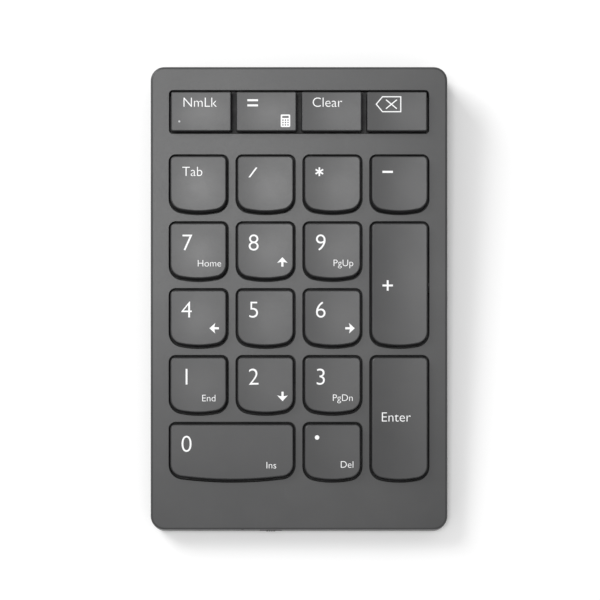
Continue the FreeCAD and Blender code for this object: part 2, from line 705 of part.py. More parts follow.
def make_top_cover():
    """Deck with its walls, key windows, screw bosses, stakes, switch window and lamp hole."""
    body = new_body("top_cover")
    lay_on_deck(body)
    half = "dims.body_wide / 2"
    deck = new_sketch(body, "deck_outline")
    draw_rounded(deck, f"-{half}", half, f"-{DECK_FRONT}", DECK_BACK, "dims.corner_round")
    rim = new_sketch(body, "rim_outline", up="-dims.cover_drop")
    draw_rounded(rim, f"-{half}", half, f"-{RIM_FRONT}", RIM_BACK, "dims.corner_round")
    solid = body.newObject("PartDesign::AdditiveLoft", "cover_block")
    solid.Profile = deck
    solid.Sections = [rim]
    solid.Ruled = True
    fillet(body, solid, edges_where(solid, lies_at("0")), "dims.deck_edge")
    inside = new_sketch(body, "cover_inside", up="-dims.cover_drop")
    draw_rounded(
        inside,
        f"-{half} + dims.wall",
        f"{half} - dims.wall",
        f"-{DECK_FRONT} + dims.wall",
        f"{DECK_BACK} - dims.wall",
        "dims.corner_round - dims.wall",
    )
    pocket(body, inside, "dims.cover_drop - dims.deck_thick", up=True)
    windows = draw_windows(body)
    flat = lies_at("0")
    edges = edges_where(windows, lambda edge: flat(edge) and inside_rim(edge))
    chamfer(body, windows, edges, "dims.window_edge")
    for across, along, name in BOSSES:
        boss = new_sketch(body, name + "_boss", up="-dims.cover_drop")
        draw_circle(boss, across, along, "dims.boss_round")
        pad(body, boss, "dims.cover_drop - dims.deck_thick + 0.1")
        hole = new_sketch(body, name + "_boss_hole", up="-dims.cover_drop")
        draw_circle(hole, across, along, "dims.screw_round + 0.02")
        pocket(body, hole, "dims.cover_drop - dims.deck_thick", up=True)
    stake_profile = new_sketch(
        body, "stake_profile", "YZ_Plane", up="-dims.pitch", aside=f"({FIRST_WEB} - 3 * dims.pitch)"
    )
    head = "dims.stake_round + 0.6"
    draw_polygon(
        stake_profile,
        [
            ("0", "-dims.deck_thick + 0.1"),
            ("0", f"-{PLATE_LOW} - 0.35"),
            (f"{head} - 0.15", f"-{PLATE_LOW} - 0.35"),
            (head, f"-{PLATE_LOW} - 0.05"),
            ("dims.stake_round", f"-{PLATE_LOW} - 0.05"),
            ("dims.stake_round", "-dims.deck_thick + 0.1"),
        ],
    )
    stake = turn_about(body, stake_profile)
    spread(body, stake)
    cut_front_wall(body)
    return body


def inside_rim(edge):
    """Whether an edge of the deck face is clear of the cover's own outline."""
    box = edge.BoundBox
    side = measure("dims.body_wide / 2 - 2")
    front = measure(f"{DECK_FRONT} - 2")
    back = measure(f"{DECK_BACK} - 2")
    return -side < box.XMin and box.XMax < side and -front < box.YMin and box.YMax < back


def cut_front_wall(body):
    """The switch's window, and the lamp's hole with the hollow behind it."""
    window = new_sketch(body, "switch_window", "XZ_Plane", up=f"{DECK_FRONT} - dims.wall - 0.5")
    left = "-dims.switch_place - dims.switch_wide / 2"
    right = "-dims.switch_place + dims.switch_wide / 2"
    middle = f"({SWITCH_MIDDLE} - dims.front_rise)"
    low = f"{middle} - dims.switch_high / 2 - 0.18"
    high = f"{middle} + dims.switch_high / 2 + 0.12"
    draw_box(window, left, right, low, high)
    pocket(body, window, "4", up=True)
    hole = new_sketch(body, "lamp_hole", "XZ_Plane", up=f"{DECK_FRONT} - 2.6")
    draw_circle(hole, "-dims.lamp_place", "-2 * dims.lamp_round", "dims.lamp_round + 0.03")
    pocket(body, hole, "4", up=True)
    hollow = new_sketch(body, "lamp_hollow", up="-0.45")
    draw_box(
        hollow,
        "-dims.lamp_place - 0.9",
        "-dims.lamp_place + 0.9",
        f"-{DECK_FRONT} + dims.wall + 0.1",
        f"-{DECK_FRONT} + 4",
    )
    pocket(body, hollow, "dims.deck_thick")


def make_bottom_cover():
    """Tray with a wedge rim, screw posts, battery bay, board rails and the socket's mouth."""
    body = new_body("bottom_cover")
    half = "dims.body_wide / 2"
    deep = "dims.body_deep / 2"
    tray = new_sketch(body, "tray_outline", up="dims.foot_gap")
    draw_rounded(tray, f"-{half}", half, f"-{deep}", deep, "dims.corner_round")
    solid = pad(body, tray, "14")
    chamfer(body, solid, edges_where(solid, lies_at("dims.foot_gap")), "0.7")
    inside = new_sketch(body, "tray_inside", up=FLOOR_TOP)
    draw_rounded(
        inside,
        f"-{half} + dims.wall",
        f"{half} - dims.wall",
        f"-{deep} + dims.wall + 0.3",
        f"{deep} - dims.wall",
        "dims.corner_round - dims.wall",
    )
    pocket(body, inside, "20", up=True)
    add_rails(body)
    for across, along, name in BOSSES:
        place = f"{along} * {TILT_COS} + dims.cover_drop * {TILT_SIN}"
        post = new_sketch(body, name + "_post", up=f"{FLOOR_TOP} - 0.3")
        draw_circle(post, across, place, "dims.post_round")
        pad(body, post, "12")
    part_line = new_sketch(body, "parting", "YZ_Plane")
    level = f"({DECK_LEVEL} - dims.cover_drop / {TILT_COS} - 0.03)"
    slope = "tan(dims.tilt)"
    draw_polygon(
        part_line,
        [
            ("-80", f"{level} - 80 * {slope}"),
            ("80", f"{level} + 80 * {slope}"),
            ("80", "40"),
            ("-80", "40"),
        ],
    )
    pocket(body, part_line, "200", both=True)
    for across, along, name in BOSSES:
        drill_screw(body, name, across, along)
    cut_mouth(body)
    seat_feet(body)
    return body


def add_rails(body):
    """Low rails under the board and an upright fence round the battery."""
    rails = new_sketch(body, "board_rails", up=f"{FLOOR_TOP} - 0.2")
    for along in ("-50", "-20", "10", "40"):
        draw_box(rails, "-dims.board_left + 1", "-dims.board_right - 1", along, f"{along} + 1.2")
    pad(body, rails, f"dims.board_rise - {FLOOR_TOP} + 0.15")
    fence = new_sketch(body, "battery_fence", up=f"{FLOOR_TOP} - 0.2")
    left = "dims.cell_left - 0.4"
    right = "dims.cell_left + dims.cell_wide + 0.2"
    front = "-dims.cell_front - 0.4"
    back = "dims.cell_deep - dims.cell_front + 0.4"
    draw_box(fence, left, "dims.cell_left + 6", f"{front} - 1", front)
    draw_box(fence, f"{right} - 7", right, f"{front} - 1", front)
    draw_box(fence, f"{right} - 7", right, back, f"{back} + 1")
    pad(body, fence, "3")


def drill_screw(body, name, across, along):
    """A screw's head recess from below and its clearance hole, square to the deck."""
    depth = f"(dims.cover_drop + dims.screw_seat)"
    place = f"({along} * {TILT_COS} + {depth} * {TILT_SIN})"
    height = f"({DECK_LEVEL} + {along} * {TILT_SIN} - {depth} * {TILT_COS})"
    recess = new_sketch(body, name + "_recess", up=height, lean="dims.tilt")
    recess.setExpression("AttachmentOffset.Base.y", place)
    draw_circle(recess, across, "0", "dims.screw_head + 0.25")
    pocket(body, recess, "15")
    hole = new_sketch(body, name + "_hole", up=height, lean="dims.tilt")
    hole.setExpression("AttachmentOffset.Base.y", place)
    draw_circle(hole, across, "0", "dims.screw_round + 0.15")
    pocket(body, hole, "6", both=True)


def cut_mouth(body):
    """The rear wall's opening for the charging plug."""
    mouth = new_sketch(body, "socket_mouth", "XZ_Plane", up="-dims.body_deep / 2 + dims.wall + 0.5")
    wide = "(dims.socket_wide / 2 + 0.25)"
    high = "(dims.socket_high / 2 + 0.25)"
    draw_rounded(
        mouth,
        f"-dims.socket_place - {wide}",
        f"-dims.socket_place + {wide}",
        f"{SOCKET_MIDDLE} - {high}",
        f"{SOCKET_MIDDLE} + {high}",
        f"{high} - 0.05",
    )
    pocket(body, mouth, "5")


def foot_outline(sketch, side, end, gap):
    """One foot's outline in its corner."""
    across, along = f"{side}dims.foot_across", f"{end}dims.foot_along"
    wide, deep = f"(dims.foot_wide / 2 + {gap})", f"(dims.foot_deep / 2 + {gap})"
    draw_rounded(
        sketch,
        f"{across} - {wide}",
        f"{across} + {wide}",
        f"{along} - {deep}",
        f"{along} + {deep}",
        f"{deep} - 0.05",
    )


def seat_feet(body):
    """Shallow seats for the feet."""
    seats = new_sketch(body, "foot_seats", up="dims.foot_gap")
    for side in ("-", ""):
        for end in ("-", ""):
            foot_outline(seats, side, end, "0.1")
    pocket(body, seats, "dims.foot_sunk", up=True)


def make_feet():
    """Four rubber feet, rounded where they meet the desk."""
    body = new_body("rubber_feet")
    soles = new_sketch(body, "foot_soles")
    for side in ("-", ""):
        for end in ("-", ""):
            foot_outline(soles, side, end, "0")
    solid = pad(body, soles, "dims.foot_gap + dims.foot_sunk")
    fillet(body, solid, edges_where(solid, lies_at("0")), "0.25")
    return body


def make_screws():
    """Six cross-head screws, square to the deck."""
    body = new_body("case_screws")
    lay_on_deck(body)
    seat = "(dims.cover_drop + dims.screw_seat)"
    for across, along, name in BOSSES:
        profile = new_sketch(body, name + "_screw", "YZ_Plane", across, aside=along)
        draw_polygon(
            profile,
            [
                ("0", f"-{seat} - 0.8"),
                ("dims.screw_head - 0.3", f"-{seat} - 0.8"),
                ("dims.screw_head", f"-{seat} - 0.55"),
                ("dims.screw_head", f"-{seat}"),
                ("dims.screw_round - 0.02", f"-{seat}"),
                ("dims.screw_round - 0.02", f"-{seat} + 3.3"),
                ("0.4", f"-{seat} + 3.7"),
                ("0", f"-{seat} + 3.7"),
            ],
        )
        turn_about(body, profile)
        for role, arm in (("across", ("0.9", "0.2")), ("along", ("0.2", "0.9"))):
            slot = new_sketch(body, f"{name}_slot_{role}", up=f"-{seat} - 0.8")
            draw_box(
                slot,
                f"{across} - {arm[0]}",
                f"{across} + {arm[0]}",
                f"{along} - {arm[1]}",
                f"{along} + {arm[1]}",
            )
            pocket(body, slot, "0.5", up=True)
    return body


# ---- plate, membrane and domes ----


def wire_hook_places(key):
    """Middles of the plate hooks over a stabilizer's ends."""
    near = "(dims.wire_offset - sqrt(dims.wire_leg ^ 2 - (dims.wire_high + dims.wire_low) ^ 2))"
    for side in ("-", ""):
        spot = f"({side}(dims.wire_half - dims.wire_tip + 0.35))"
        yield (spot, near) if key.long_way == "x" else (near, spot)


def make_plate():
    """Steel plate with bent-up hooks for the levers' lower bars and the wires' ends."""
    blank = new_body("plate_blank")
    outline = new_sketch(blank, "plate_outline", up=f"-{PLATE_LOW}")
    half = "dims.plate_half"
    draw_rounded(outline, f"-{half}", half, "-dims.plate_front", "dims.plate_back", "2")
    pad(blank, outline, "dims.plate_thick")
    drill_stake_holes(blank, f"-{PLATE_LOW}")
    hooks = []
    for key in KEYCAPS:
        hooks += lever_hooks(key)
        if key.long_way:
            hooks += wire_hooks(key)
    plate = join("support_plate", [blank, *hooks])
    lay_on_deck(plate)
    return plate


def drill_stake_holes(body, level):
    """Holes for the plastic stakes, in a grid, upwards from a level."""
    first = new_sketch(body, body.Name + "_stake_hole", up=level)
    draw_circle(first, "-dims.pitch", f"{FIRST_WEB} - 3 * dims.pitch", "dims.stake_round + 0.1")
    hole = pocket(body, first, "1", up=True)
    spread(body, hole)


def spread(body, feature):
    """Repeat a feature at every crossing of the deck's webs."""
    grid = body.newObject("PartDesign::LinearPattern", feature.Name + "_grid")
    grid.Originals = [feature]
    grid.Direction = (origin_feature(body, "X_Axis"), [""])
    grid.Direction2 = (origin_feature(body, "Y_Axis"), [""])
    grid.setExpression("Length", "2 * dims.pitch")
    grid.setExpression("Length2", "3 * dims.pitch")
    grid.Occurrences = 3
    grid.Occurrences2 = 4
    grid.Refine = False
    body.Tip = grid


def lever_hooks(key):
    """Two hooks over the inner lever's rear bar and two over the outer lever's front bar."""
    lip_low = "-(dims.lever_low - dims.lever_thick / 2 - 0.2)"
    gap = "dims.lever_bar / 2 + 0.1"
    pieces = []
    for end, offset, half in (("+", "3.2", "0.6"), ("-", "(dims.outer_half - 1.1)", "0.35")):
        face = f"({key.along} {end} ({key.bar} + {gap}))"
        outside = f"({face} {end} 0.35)"
        inside = f"({key.along} {end} ({key.bar} - 0.1))"
        leg = (face, outside) if end == "+" else (outside, face)
        lip = (inside, outside) if end == "+" else (outside, inside)
        for hand in ("-", "+"):
            sides = [f"({key.across} {hand} {offset} {way} {half})" for way in "-+"]
            name = f"{key.name}_hook"
            pieces.append(block(name + "_leg", *sides, *leg, "-dims.plate_top - 0.1", f"{lip_low} + 0.1"))
            pieces.append(block(name + "_lip", *sides, *lip, lip_low, f"{lip_low} + 0.4"))
    return pieces


def wire_hooks(key):
    """Long hooks that hold a wire's ends down and let them slide."""
    low = "(-dims.wire_low + dims.wire_round + 0.15)"
    root = "-dims.plate_top - 0.1"
    pieces = []
    for across, along in wire_hook_places(key):
        x, y = f"({key.across} + {across})", f"({key.along} + {along})"
        name = f"{key.name}_wire_hook"
        if key.long_way == "x":
            sides = (f"{x} - 0.6", f"{x} + 0.6", f"{y} - 1.5")
            pieces.append(block(name + "_leg", *sides, f"{y} - 1.1", root, f"{low} + 0.1"))
            pieces.append(block(name + "_lip", *sides, f"{y} + 0.6", low, f"{low} + 0.4"))
        else:
            ends = (f"{y} - 0.6", f"{y} + 0.6")
            pieces.append(block(name + "_leg", f"{x} - 1.5", f"{x} - 1.1", *ends, root, f"{low} + 0.1"))
            pieces.append(block(name + "_lip", f"{x} - 1.5", f"{x} + 0.6", *ends, low, f"{low} + 0.4"))
    return pieces


def make_membrane():
    """Printed films on the plate, windowed for the hooks, with a tail down to the board."""
    film = new_body("film")
    outline = new_sketch(film, "film_outline", up="-dims.plate_top")
    edge = "dims.plate_half - 0.4"
    draw_rounded(outline, f"-({edge})", edge, "-dims.plate_front + 0.4", "dims.plate_back - 0.4", "1.6")
    pad(film, outline, "dims.film")
    tail = new_sketch(film, "tail_bend", "YZ_Plane", up="-29.5")
    start, top, low = "dims.plate_back - 1", "-dims.plate_top + dims.film", "-10.3"
    out = "(dims.plate_back + 2.2)"
    draw_polygon(
        tail,
        [
            (start, "-dims.plate_top"),
            (f"{out} - 1.0", "-dims.plate_top"),
            (f"{out} - dims.film", "-dims.plate_top - 0.7"),
            (f"{out} - dims.film", low),
            (out, low),
            (out, "-dims.plate_top - 0.6"),
            (f"{out} - 0.9", top),
            (start, top),
        ],
    )
    pad(film, tail, "7", both=True)
    drill_stake_holes(film, "-dims.plate_top - 0.1")
    membrane = doc.addObject("Part::Cut", "membrane_circuit")
    membrane.Label = membrane.Name
    membrane.Base = film
    membrane.Tool = join("film_windows", film_windows())
    membrane.Refine = False
    lay_on_deck(membrane)
    return membrane


def film_windows():
    """Blocks that clear the films round every hook."""
    low, high = "-dims.plate_top - 0.2", "-dims.plate_top + dims.film + 0.2"
    windows = []
    for key in KEYCAPS:
        left, right = f"{key.across} - 6.5", f"{key.across} + 6.5"
        near, far = f"({key.bar} - 0.6)", f"({key.bar} + 1.05)"
        name = key.name + "_film_window"
        ahead = (f"{key.along} + {near}", f"{key.along} + {far}")
        behind = (f"{key.along} - {far}", f"{key.along} - {near}")
        windows.append(block(name, left, right, *ahead, low, high))
        windows.append(block(name, left, right, *behind, low, high))
        if key.long_way:
            for across, along in wire_hook_places(key):
                x, y = f"{key.across} + {across}", f"{key.along} + {along}"
                sides = (f"{x} - 1.7", f"{x} + 1.7", f"{y} - 1.7", f"{y} + 1.7")
                windows.append(block(name, *sides, low, high))
    return windows


def make_domes():
    """One rubber dome under each key, with a nub that presses the films."""
    body = new_body("rubber_domes")
    lay_on_deck(body)
    foot = "(-dims.plate_top + dims.film)"
    crown = "(dims.cap_ceiling - 0.1)"
    outline = [
        ("0", crown),
        ("1.5", crown),
        ("2.1", f"{foot} + 0.5"),
        ("dims.dome_round", f"{foot} + 0.3"),
        ("dims.dome_round", foot),
        ("1.8", foot),
        ("1.15", f"{crown} - 1.1"),
        ("0.6", f"{crown} - 1.1"),
        ("0.6", f"{crown} - 1.9"),
        ("0", f"{crown} - 1.9"),
    ]
    for key in KEYCAPS:
        profile = new_sketch(body, key.name + "_dome", "YZ_Plane", key.across, aside=key.along)
        draw_polygon(profile, outline)
        turn_about(body, profile)
    return body


# ---- electronics ----


def make_board():
    """Long circuit board on the left of the tray."""
    body = new_body("main_board")
    outline = new_sketch(body, "board_outline", up="dims.board_rise")
    ends = ("-dims.board_front", "dims.board_back")
    draw_rounded(outline, "-dims.board_left", "-dims.board_right", *ends, "0.8")
    pad(body, outline, "dims.board_thick")
    return body


def make_chips():
    """What is soldered to the board: controller, radio, regulator, connectors and small parts."""
    body = new_body("board_chips")
    parts = (
        ("controller", "-24", "-10", "7", "7", "0.9"),
        ("radio", "-20", "-34", "5", "5", "0.8"),
        ("crystal", "-12", "-32", "3.2", "2.5", "0.7"),
        ("regulator", "-12", "36", "3", "3", "1"),
        ("charger", "-24", "44", "4", "4", "0.9"),
        ("lamp", "-dims.lamp_place", "-61.6", "1.6", "0.8", "0.6"),
        ("battery_plug", "-7.75", "51.5", "3.5", "5", "2.4"),
        ("tail_socket", "-29.5", "61.6", "8.5", "2.2", "1.7"),
    )
    for name, x, y, wide, deep, high in parts:
        outline = new_sketch(body, name, up=BOARD_TOP)
        sides = (f"{x} - {wide} / 2", f"{x} + {wide} / 2")
        draw_box(outline, *sides, f"{y} - {deep} / 2", f"{y} + {deep} / 2")
        pad(body, outline, high)
    passives = new_sketch(body, "passives", up=BOARD_TOP)
    for step in range(5):
        draw_box(passives, f"{-30 + 3 * step}", f"{-28.4 + 3 * step}", "-20", "-19.2")
        draw_box(passives, f"{-30 + 3 * step}", f"{-28.4 + 3 * step}", "26", "26.8")
    pad(body, passives, "0.5")
    slot = new_sketch(body, "tail_slot", up=f"{BOARD_TOP} + 0.6")
    draw_box(slot, "-33.2", "-25.8", "61.2", "62.3")
    pocket(body, slot, "2", up=True)
    return body


def draw_pill(sketch, wide, high):
    """A charging socket section with fully round ends."""
    draw_rounded(
        sketch,
        f"-dims.socket_place - {wide} / 2",
        f"-dims.socket_place + {wide} / 2",
        f"{SOCKET_MIDDLE} - {high} / 2",
        f"{SOCKET_MIDDLE} + {high} / 2",
        f"{high} / 2 - 0.02",
    )


def make_socket():
    """Charging socket: a drawn steel shell with its tongue."""
    body = new_body("usb_c_receptacle")
    face = "(dims.body_deep / 2 - 0.4)"
    shell = new_sketch(body, "shell", "XZ_Plane", up=f"-{face}")
    draw_pill(shell, "dims.socket_wide", "dims.socket_high")
    pad(body, shell, "dims.socket_deep")
    mouth = new_sketch(body, "mouth", "XZ_Plane", up=f"-{face}")
    inner = [f"(dims.{side} - 2 * dims.socket_skin)" for side in ("socket_wide", "socket_high")]
    draw_pill(mouth, *inner)
    pocket(body, mouth, "dims.socket_deep - 1", up=True)
    tongue = new_sketch(body, "tongue", "XZ_Plane", up=f"-{face} + dims.socket_deep - 0.5")
    draw_box(
        tongue,
        "-dims.socket_place - 3.35",
        "-dims.socket_place + 3.35",
        f"{SOCKET_MIDDLE} - 0.35",
        f"{SOCKET_MIDDLE} + 0.35",
    )
    pad(body, tongue, "dims.socket_deep - 1", down=True)
    return body


def make_switch():
    """Slide switch housing: a can on the board and a nose that fills the wall's window."""
    body = new_body("slide_switch")
    can = new_sketch(body, "switch_can", up=BOARD_TOP)
    inner = "(dims.board_front - 0.3)"
    draw_box(can, "-dims.switch_place - 4.5", "-dims.switch_place + 4.5", f"-{inner}", f"-{inner} + 3.4")
    pad(body, can, "dims.switch_high")
    nose = new_sketch(body, "switch_nose", "XZ_Plane", up=f"{inner} - 0.1")
    wide = "(dims.switch_wide / 2 - 0.1)"
    draw_rounded(
        nose,
        f"-dims.switch_place - {wide}",
        f"-dims.switch_place + {wide}",
        f"{SWITCH_MIDDLE} - dims.switch_high / 2",
        f"{SWITCH_MIDDLE} + dims.switch_high / 2",
        "0.35",
    )
    pad(body, nose, f"dims.body_deep / 2 - 0.35 - {inner} + 0.1")
    slot = new_sketch(body, "switch_slot", "XZ_Plane", up=f"{inner} - 2")
    run = "(dims.knob_wide / 2 + dims.switch_throw + 0.1)"
    draw_box(
        slot,
        f"-dims.switch_place - {run}",
        f"-dims.switch_place + {run}",
        f"{SWITCH_MIDDLE} - 0.6",
        f"{SWITCH_MIDDLE} + 0.6",
    )
    pocket(body, slot, "6", up=True)
    return body


def make_knob():
    """Ridged knob in the switch's slot."""
    body = new_body("switch_knob")
    profile = new_sketch(body, "knob_profile", "XZ_Plane", up="dims.board_front - 2")
    half = "dims.knob_wide / 2"
    draw_box(
        profile,
        f"-dims.switch_place - {half}",
        f"-dims.switch_place + {half}",
        f"{SWITCH_MIDDLE} - 0.52",
        f"{SWITCH_MIDDLE} + 0.52",
    )
    pad(body, profile, "dims.body_deep / 2 - dims.board_front + 1.95")
    grooves = new_sketch(body, "knob_grooves", "XZ_Plane", up="dims.body_deep / 2 - 0.25")
    for offset in ("-0.75", "-0.1", "0.55"):
        left = f"-dims.switch_place + {offset}"
        draw_box(grooves, left, f"{left} + 0.2", f"{SWITCH_MIDDLE} - 0.6", f"{SWITCH_MIDDLE} + 0.6")
    pocket(body, grooves, "2", up=True)
    return body


def make_light():
    """Clear light pipe from the board's lamp to the front edge."""
    body = new_body("status_light")
    lay_on_deck(body)
    barrel = new_sketch(body, "light_barrel", "XZ_Plane", up=f"{DECK_FRONT} - 3")
    draw_circle(barrel, "-dims.lamp_place", "-2 * dims.lamp_round", "dims.lamp_round")
    pad(body, barrel, "3.2")
    leg = new_sketch(body, "light_leg", up="-2.4")
    draw_box(
        leg,
        "-dims.lamp_place - 0.5",
        "-dims.lamp_place + 0.5",
        f"-{DECK_FRONT} + 2.4",
        f"-{DECK_FRONT} + 3.4",
    )
    pad(body, leg, "1.9")
    return body


def make_battery():
    """Flat pouch cell."""
    body = new_body("battery_cell")
    outline = new_sketch(body, "cell_outline", up="dims.cell_rise")
    right = "dims.cell_left + dims.cell_wide"
    back = "dims.cell_deep - dims.cell_front"
    draw_rounded(outline, "dims.cell_left", right, "-dims.cell_front", back, "1.5")
    solid = pad(body, outline, "dims.cell_thick")
    lower = lies_at("dims.cell_rise")
    upper = lies_at("dims.cell_rise + dims.cell_thick")
    fillet(body, solid, edges_where(solid, lambda edge: lower(edge) or upper(edge)), "1.2")
    return body


def make_battery_lead():
    """The battery's lead, from its rear face round to its plug on the board."""
    lead = doc.addObject("Part::Feature", "battery_lead")
    lead.Label = "battery_lead"
    radius = 0.5
    height = measure(f"{BOARD_TOP} + 1.3")
    back = measure("dims.cell_deep - dims.cell_front")
    route = [Vector(8, back, height), Vector(8, 51.5, height), Vector(-6, 51.5, height)]
    path = bent_wire(route, 0.45 * (51.5 - back))
    lead.Shape = sweep_round(path, radius)
    report_sweep("battery_lead", lead.Shape, path, radius)
    return lead


# ---- the whole ----


def build():
    """Make every node and return them."""
    fill_sheet()
    nodes = []
    for key in KEYCAPS:
        nodes.append(make_keycap(key))
        nodes.append(make_levers(key))
        if key.long_way:
            nodes.append(make_stabilizer(key))
    makers = (
        make_top_cover,
        make_bottom_cover,
        make_plate,
        make_membrane,
        make_domes,
        make_board,
        make_chips,
        make_socket,
        make_switch,
        make_knob,
        make_light,
        make_battery,
        make_battery_lead,
        make_feet,
        make_screws,
    )
    nodes += [make() for make in makers]
    doc.recompute()
    return nodes


def check(nodes):
    """Stop if any feature failed or any node has no sound shape."""
    failed = [o.Label for o in doc.Objects if {"Invalid", "Error"} & set(o.State)]
    for node in nodes:
        if node.Shape.isNull() or not node.Shape.isValid() or not node.Shape.Solids:
            failed.append(node.Label)
    if failed:
        raise RuntimeError("failed: " + ", ".join(failed))
    spare = measure("dims.plate_top - dims.film - dims.cap_skirt - dims.travel")
    print(f"skirt to film at full travel: {spare:.2f} mm")
    if spare < 0.2:
        raise RuntimeError("a keycap's skirt reaches the film")


def write(nodes):
    """Write one STEP file for each node."""
    os.makedirs("parts", exist_ok=True)
    for node in nodes:
        node.Shape.exportStep(f"parts/{node.Label}.step")
    print(len(nodes), "nodes written")


made = build()
check(made)
write(made)
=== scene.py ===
"""Looks of a slim wireless numeric keypad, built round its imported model.

Every finish is procedural, and the printed legends, the lock light and the rubber domes are made here.
Lengths in the settings are Blender's metres; the legend tables are in millimetres.
"""

import json
import math

import bmesh
import bpy
from bpy.props import FloatProperty, FloatVectorProperty, IntProperty, PointerProperty
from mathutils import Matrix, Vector
from mathutils.bvhtree import BVHTree


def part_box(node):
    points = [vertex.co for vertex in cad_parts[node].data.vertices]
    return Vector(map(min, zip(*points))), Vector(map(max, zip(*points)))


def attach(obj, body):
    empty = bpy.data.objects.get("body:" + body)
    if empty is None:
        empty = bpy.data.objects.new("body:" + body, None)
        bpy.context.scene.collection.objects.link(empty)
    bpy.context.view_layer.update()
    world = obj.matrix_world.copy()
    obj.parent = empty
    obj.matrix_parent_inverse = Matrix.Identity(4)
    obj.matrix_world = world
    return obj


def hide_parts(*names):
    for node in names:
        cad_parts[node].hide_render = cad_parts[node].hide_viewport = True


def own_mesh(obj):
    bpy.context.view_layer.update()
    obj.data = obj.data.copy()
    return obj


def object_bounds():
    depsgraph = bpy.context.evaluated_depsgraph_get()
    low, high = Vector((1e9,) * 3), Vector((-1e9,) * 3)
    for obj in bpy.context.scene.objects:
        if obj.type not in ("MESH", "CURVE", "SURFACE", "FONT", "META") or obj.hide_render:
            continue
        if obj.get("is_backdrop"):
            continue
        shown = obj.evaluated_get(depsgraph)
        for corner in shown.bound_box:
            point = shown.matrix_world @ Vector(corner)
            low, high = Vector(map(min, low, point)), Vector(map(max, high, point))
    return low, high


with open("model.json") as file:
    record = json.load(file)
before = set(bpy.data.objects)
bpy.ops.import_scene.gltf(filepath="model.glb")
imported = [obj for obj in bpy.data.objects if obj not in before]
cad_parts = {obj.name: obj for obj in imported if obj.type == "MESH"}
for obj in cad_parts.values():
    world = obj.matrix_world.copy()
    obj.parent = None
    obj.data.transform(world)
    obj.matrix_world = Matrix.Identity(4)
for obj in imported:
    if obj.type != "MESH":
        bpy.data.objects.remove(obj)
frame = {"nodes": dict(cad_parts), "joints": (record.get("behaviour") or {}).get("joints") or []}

bl_info = {
    "name": "Numeric Keypad Looks",
    "version": (1, 0, 0),
    "blender": (4, 5, 0),
    "location": "View3D > Sidebar > Keypad",
    "description": "Finishes, legends and stage for a slim numeric keypad",
    "category": "Object",
}

MM = 0.001
CAD_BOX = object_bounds()
NODES = frame["nodes"]
KEYS = sorted(name for name in NODES if name.startswith("key_"))

# Where a legend's ray starts above the deck, in millimetres, and how far it looks down, in metres.
RAY_START, RAY_REACH = 6.0, 0.02
# A dome's points lie this near its lever's middle, in millimetres.
DOME_NEAR = 4.5
# Side of each square light in metres, and its place across, along and above the deck in millimetres.
KEY_LIGHT = (0.26, (-100, 95, 1000))
RIM_LIGHT = (0.5, (-700, 650, 620))


class Deck:
    """The sloping deck's own frame: across, along to the back, and up from its face, in millimetres."""

    def __init__(self):
        down = Vector(frame["joints"][0]["axis"]).normalized()
        self.up = -down
        self.back = Vector((0, self.up.z, -self.up.y))
        face = max(vertex.co.dot(self.up) for vertex in NODES["top_cover"].data.vertices)
        self.origin = Vector((0, 0, face / self.up.z))
        self.tilt = math.atan2(self.back.z, self.back.y)

    def world(self, across, along, up):
        """The scene's point, in metres, for a place on the deck."""
        return self.origin + MM * (Vector((across, 0, 0)) + along * self.back + up * self.up)

    def local(self, point):
        """The place on the deck of a point of the scene."""
        away = (point - self.origin) / MM
        return away.x, away.dot(self.back), away.dot(self.up)


DECK = Deck()


# ---- settings ----


def length(name, description, millimetres):
    """A length setting, whose default is given in millimetres."""
    return FloatProperty(
        name=name, description=description, default=millimetres * MM, unit="LENGTH", precision=5
    )


def colour(name, description, red, green, blue):
    """A colour setting, in linear light."""
    return FloatVectorProperty(
        name=name,
        description=description,
        default=(red, green, blue),
        size=3,
        subtype="COLOR",
        min=0,
        max=1,
    )


def share(name, description, default):
    """A setting between nothing and all."""
    return FloatProperty(
        name=name, description=description, default=default, min=0, max=1, subtype="FACTOR"
    )


def power(name, description, watts):
    """A light's power setting."""
    return FloatProperty(name=name, description=description, default=watts, unit="POWER")


def count(name, description, default, least):
    """A whole number of steps or sides."""
    return IntProperty(name=name, description=description, default=default, min=least)


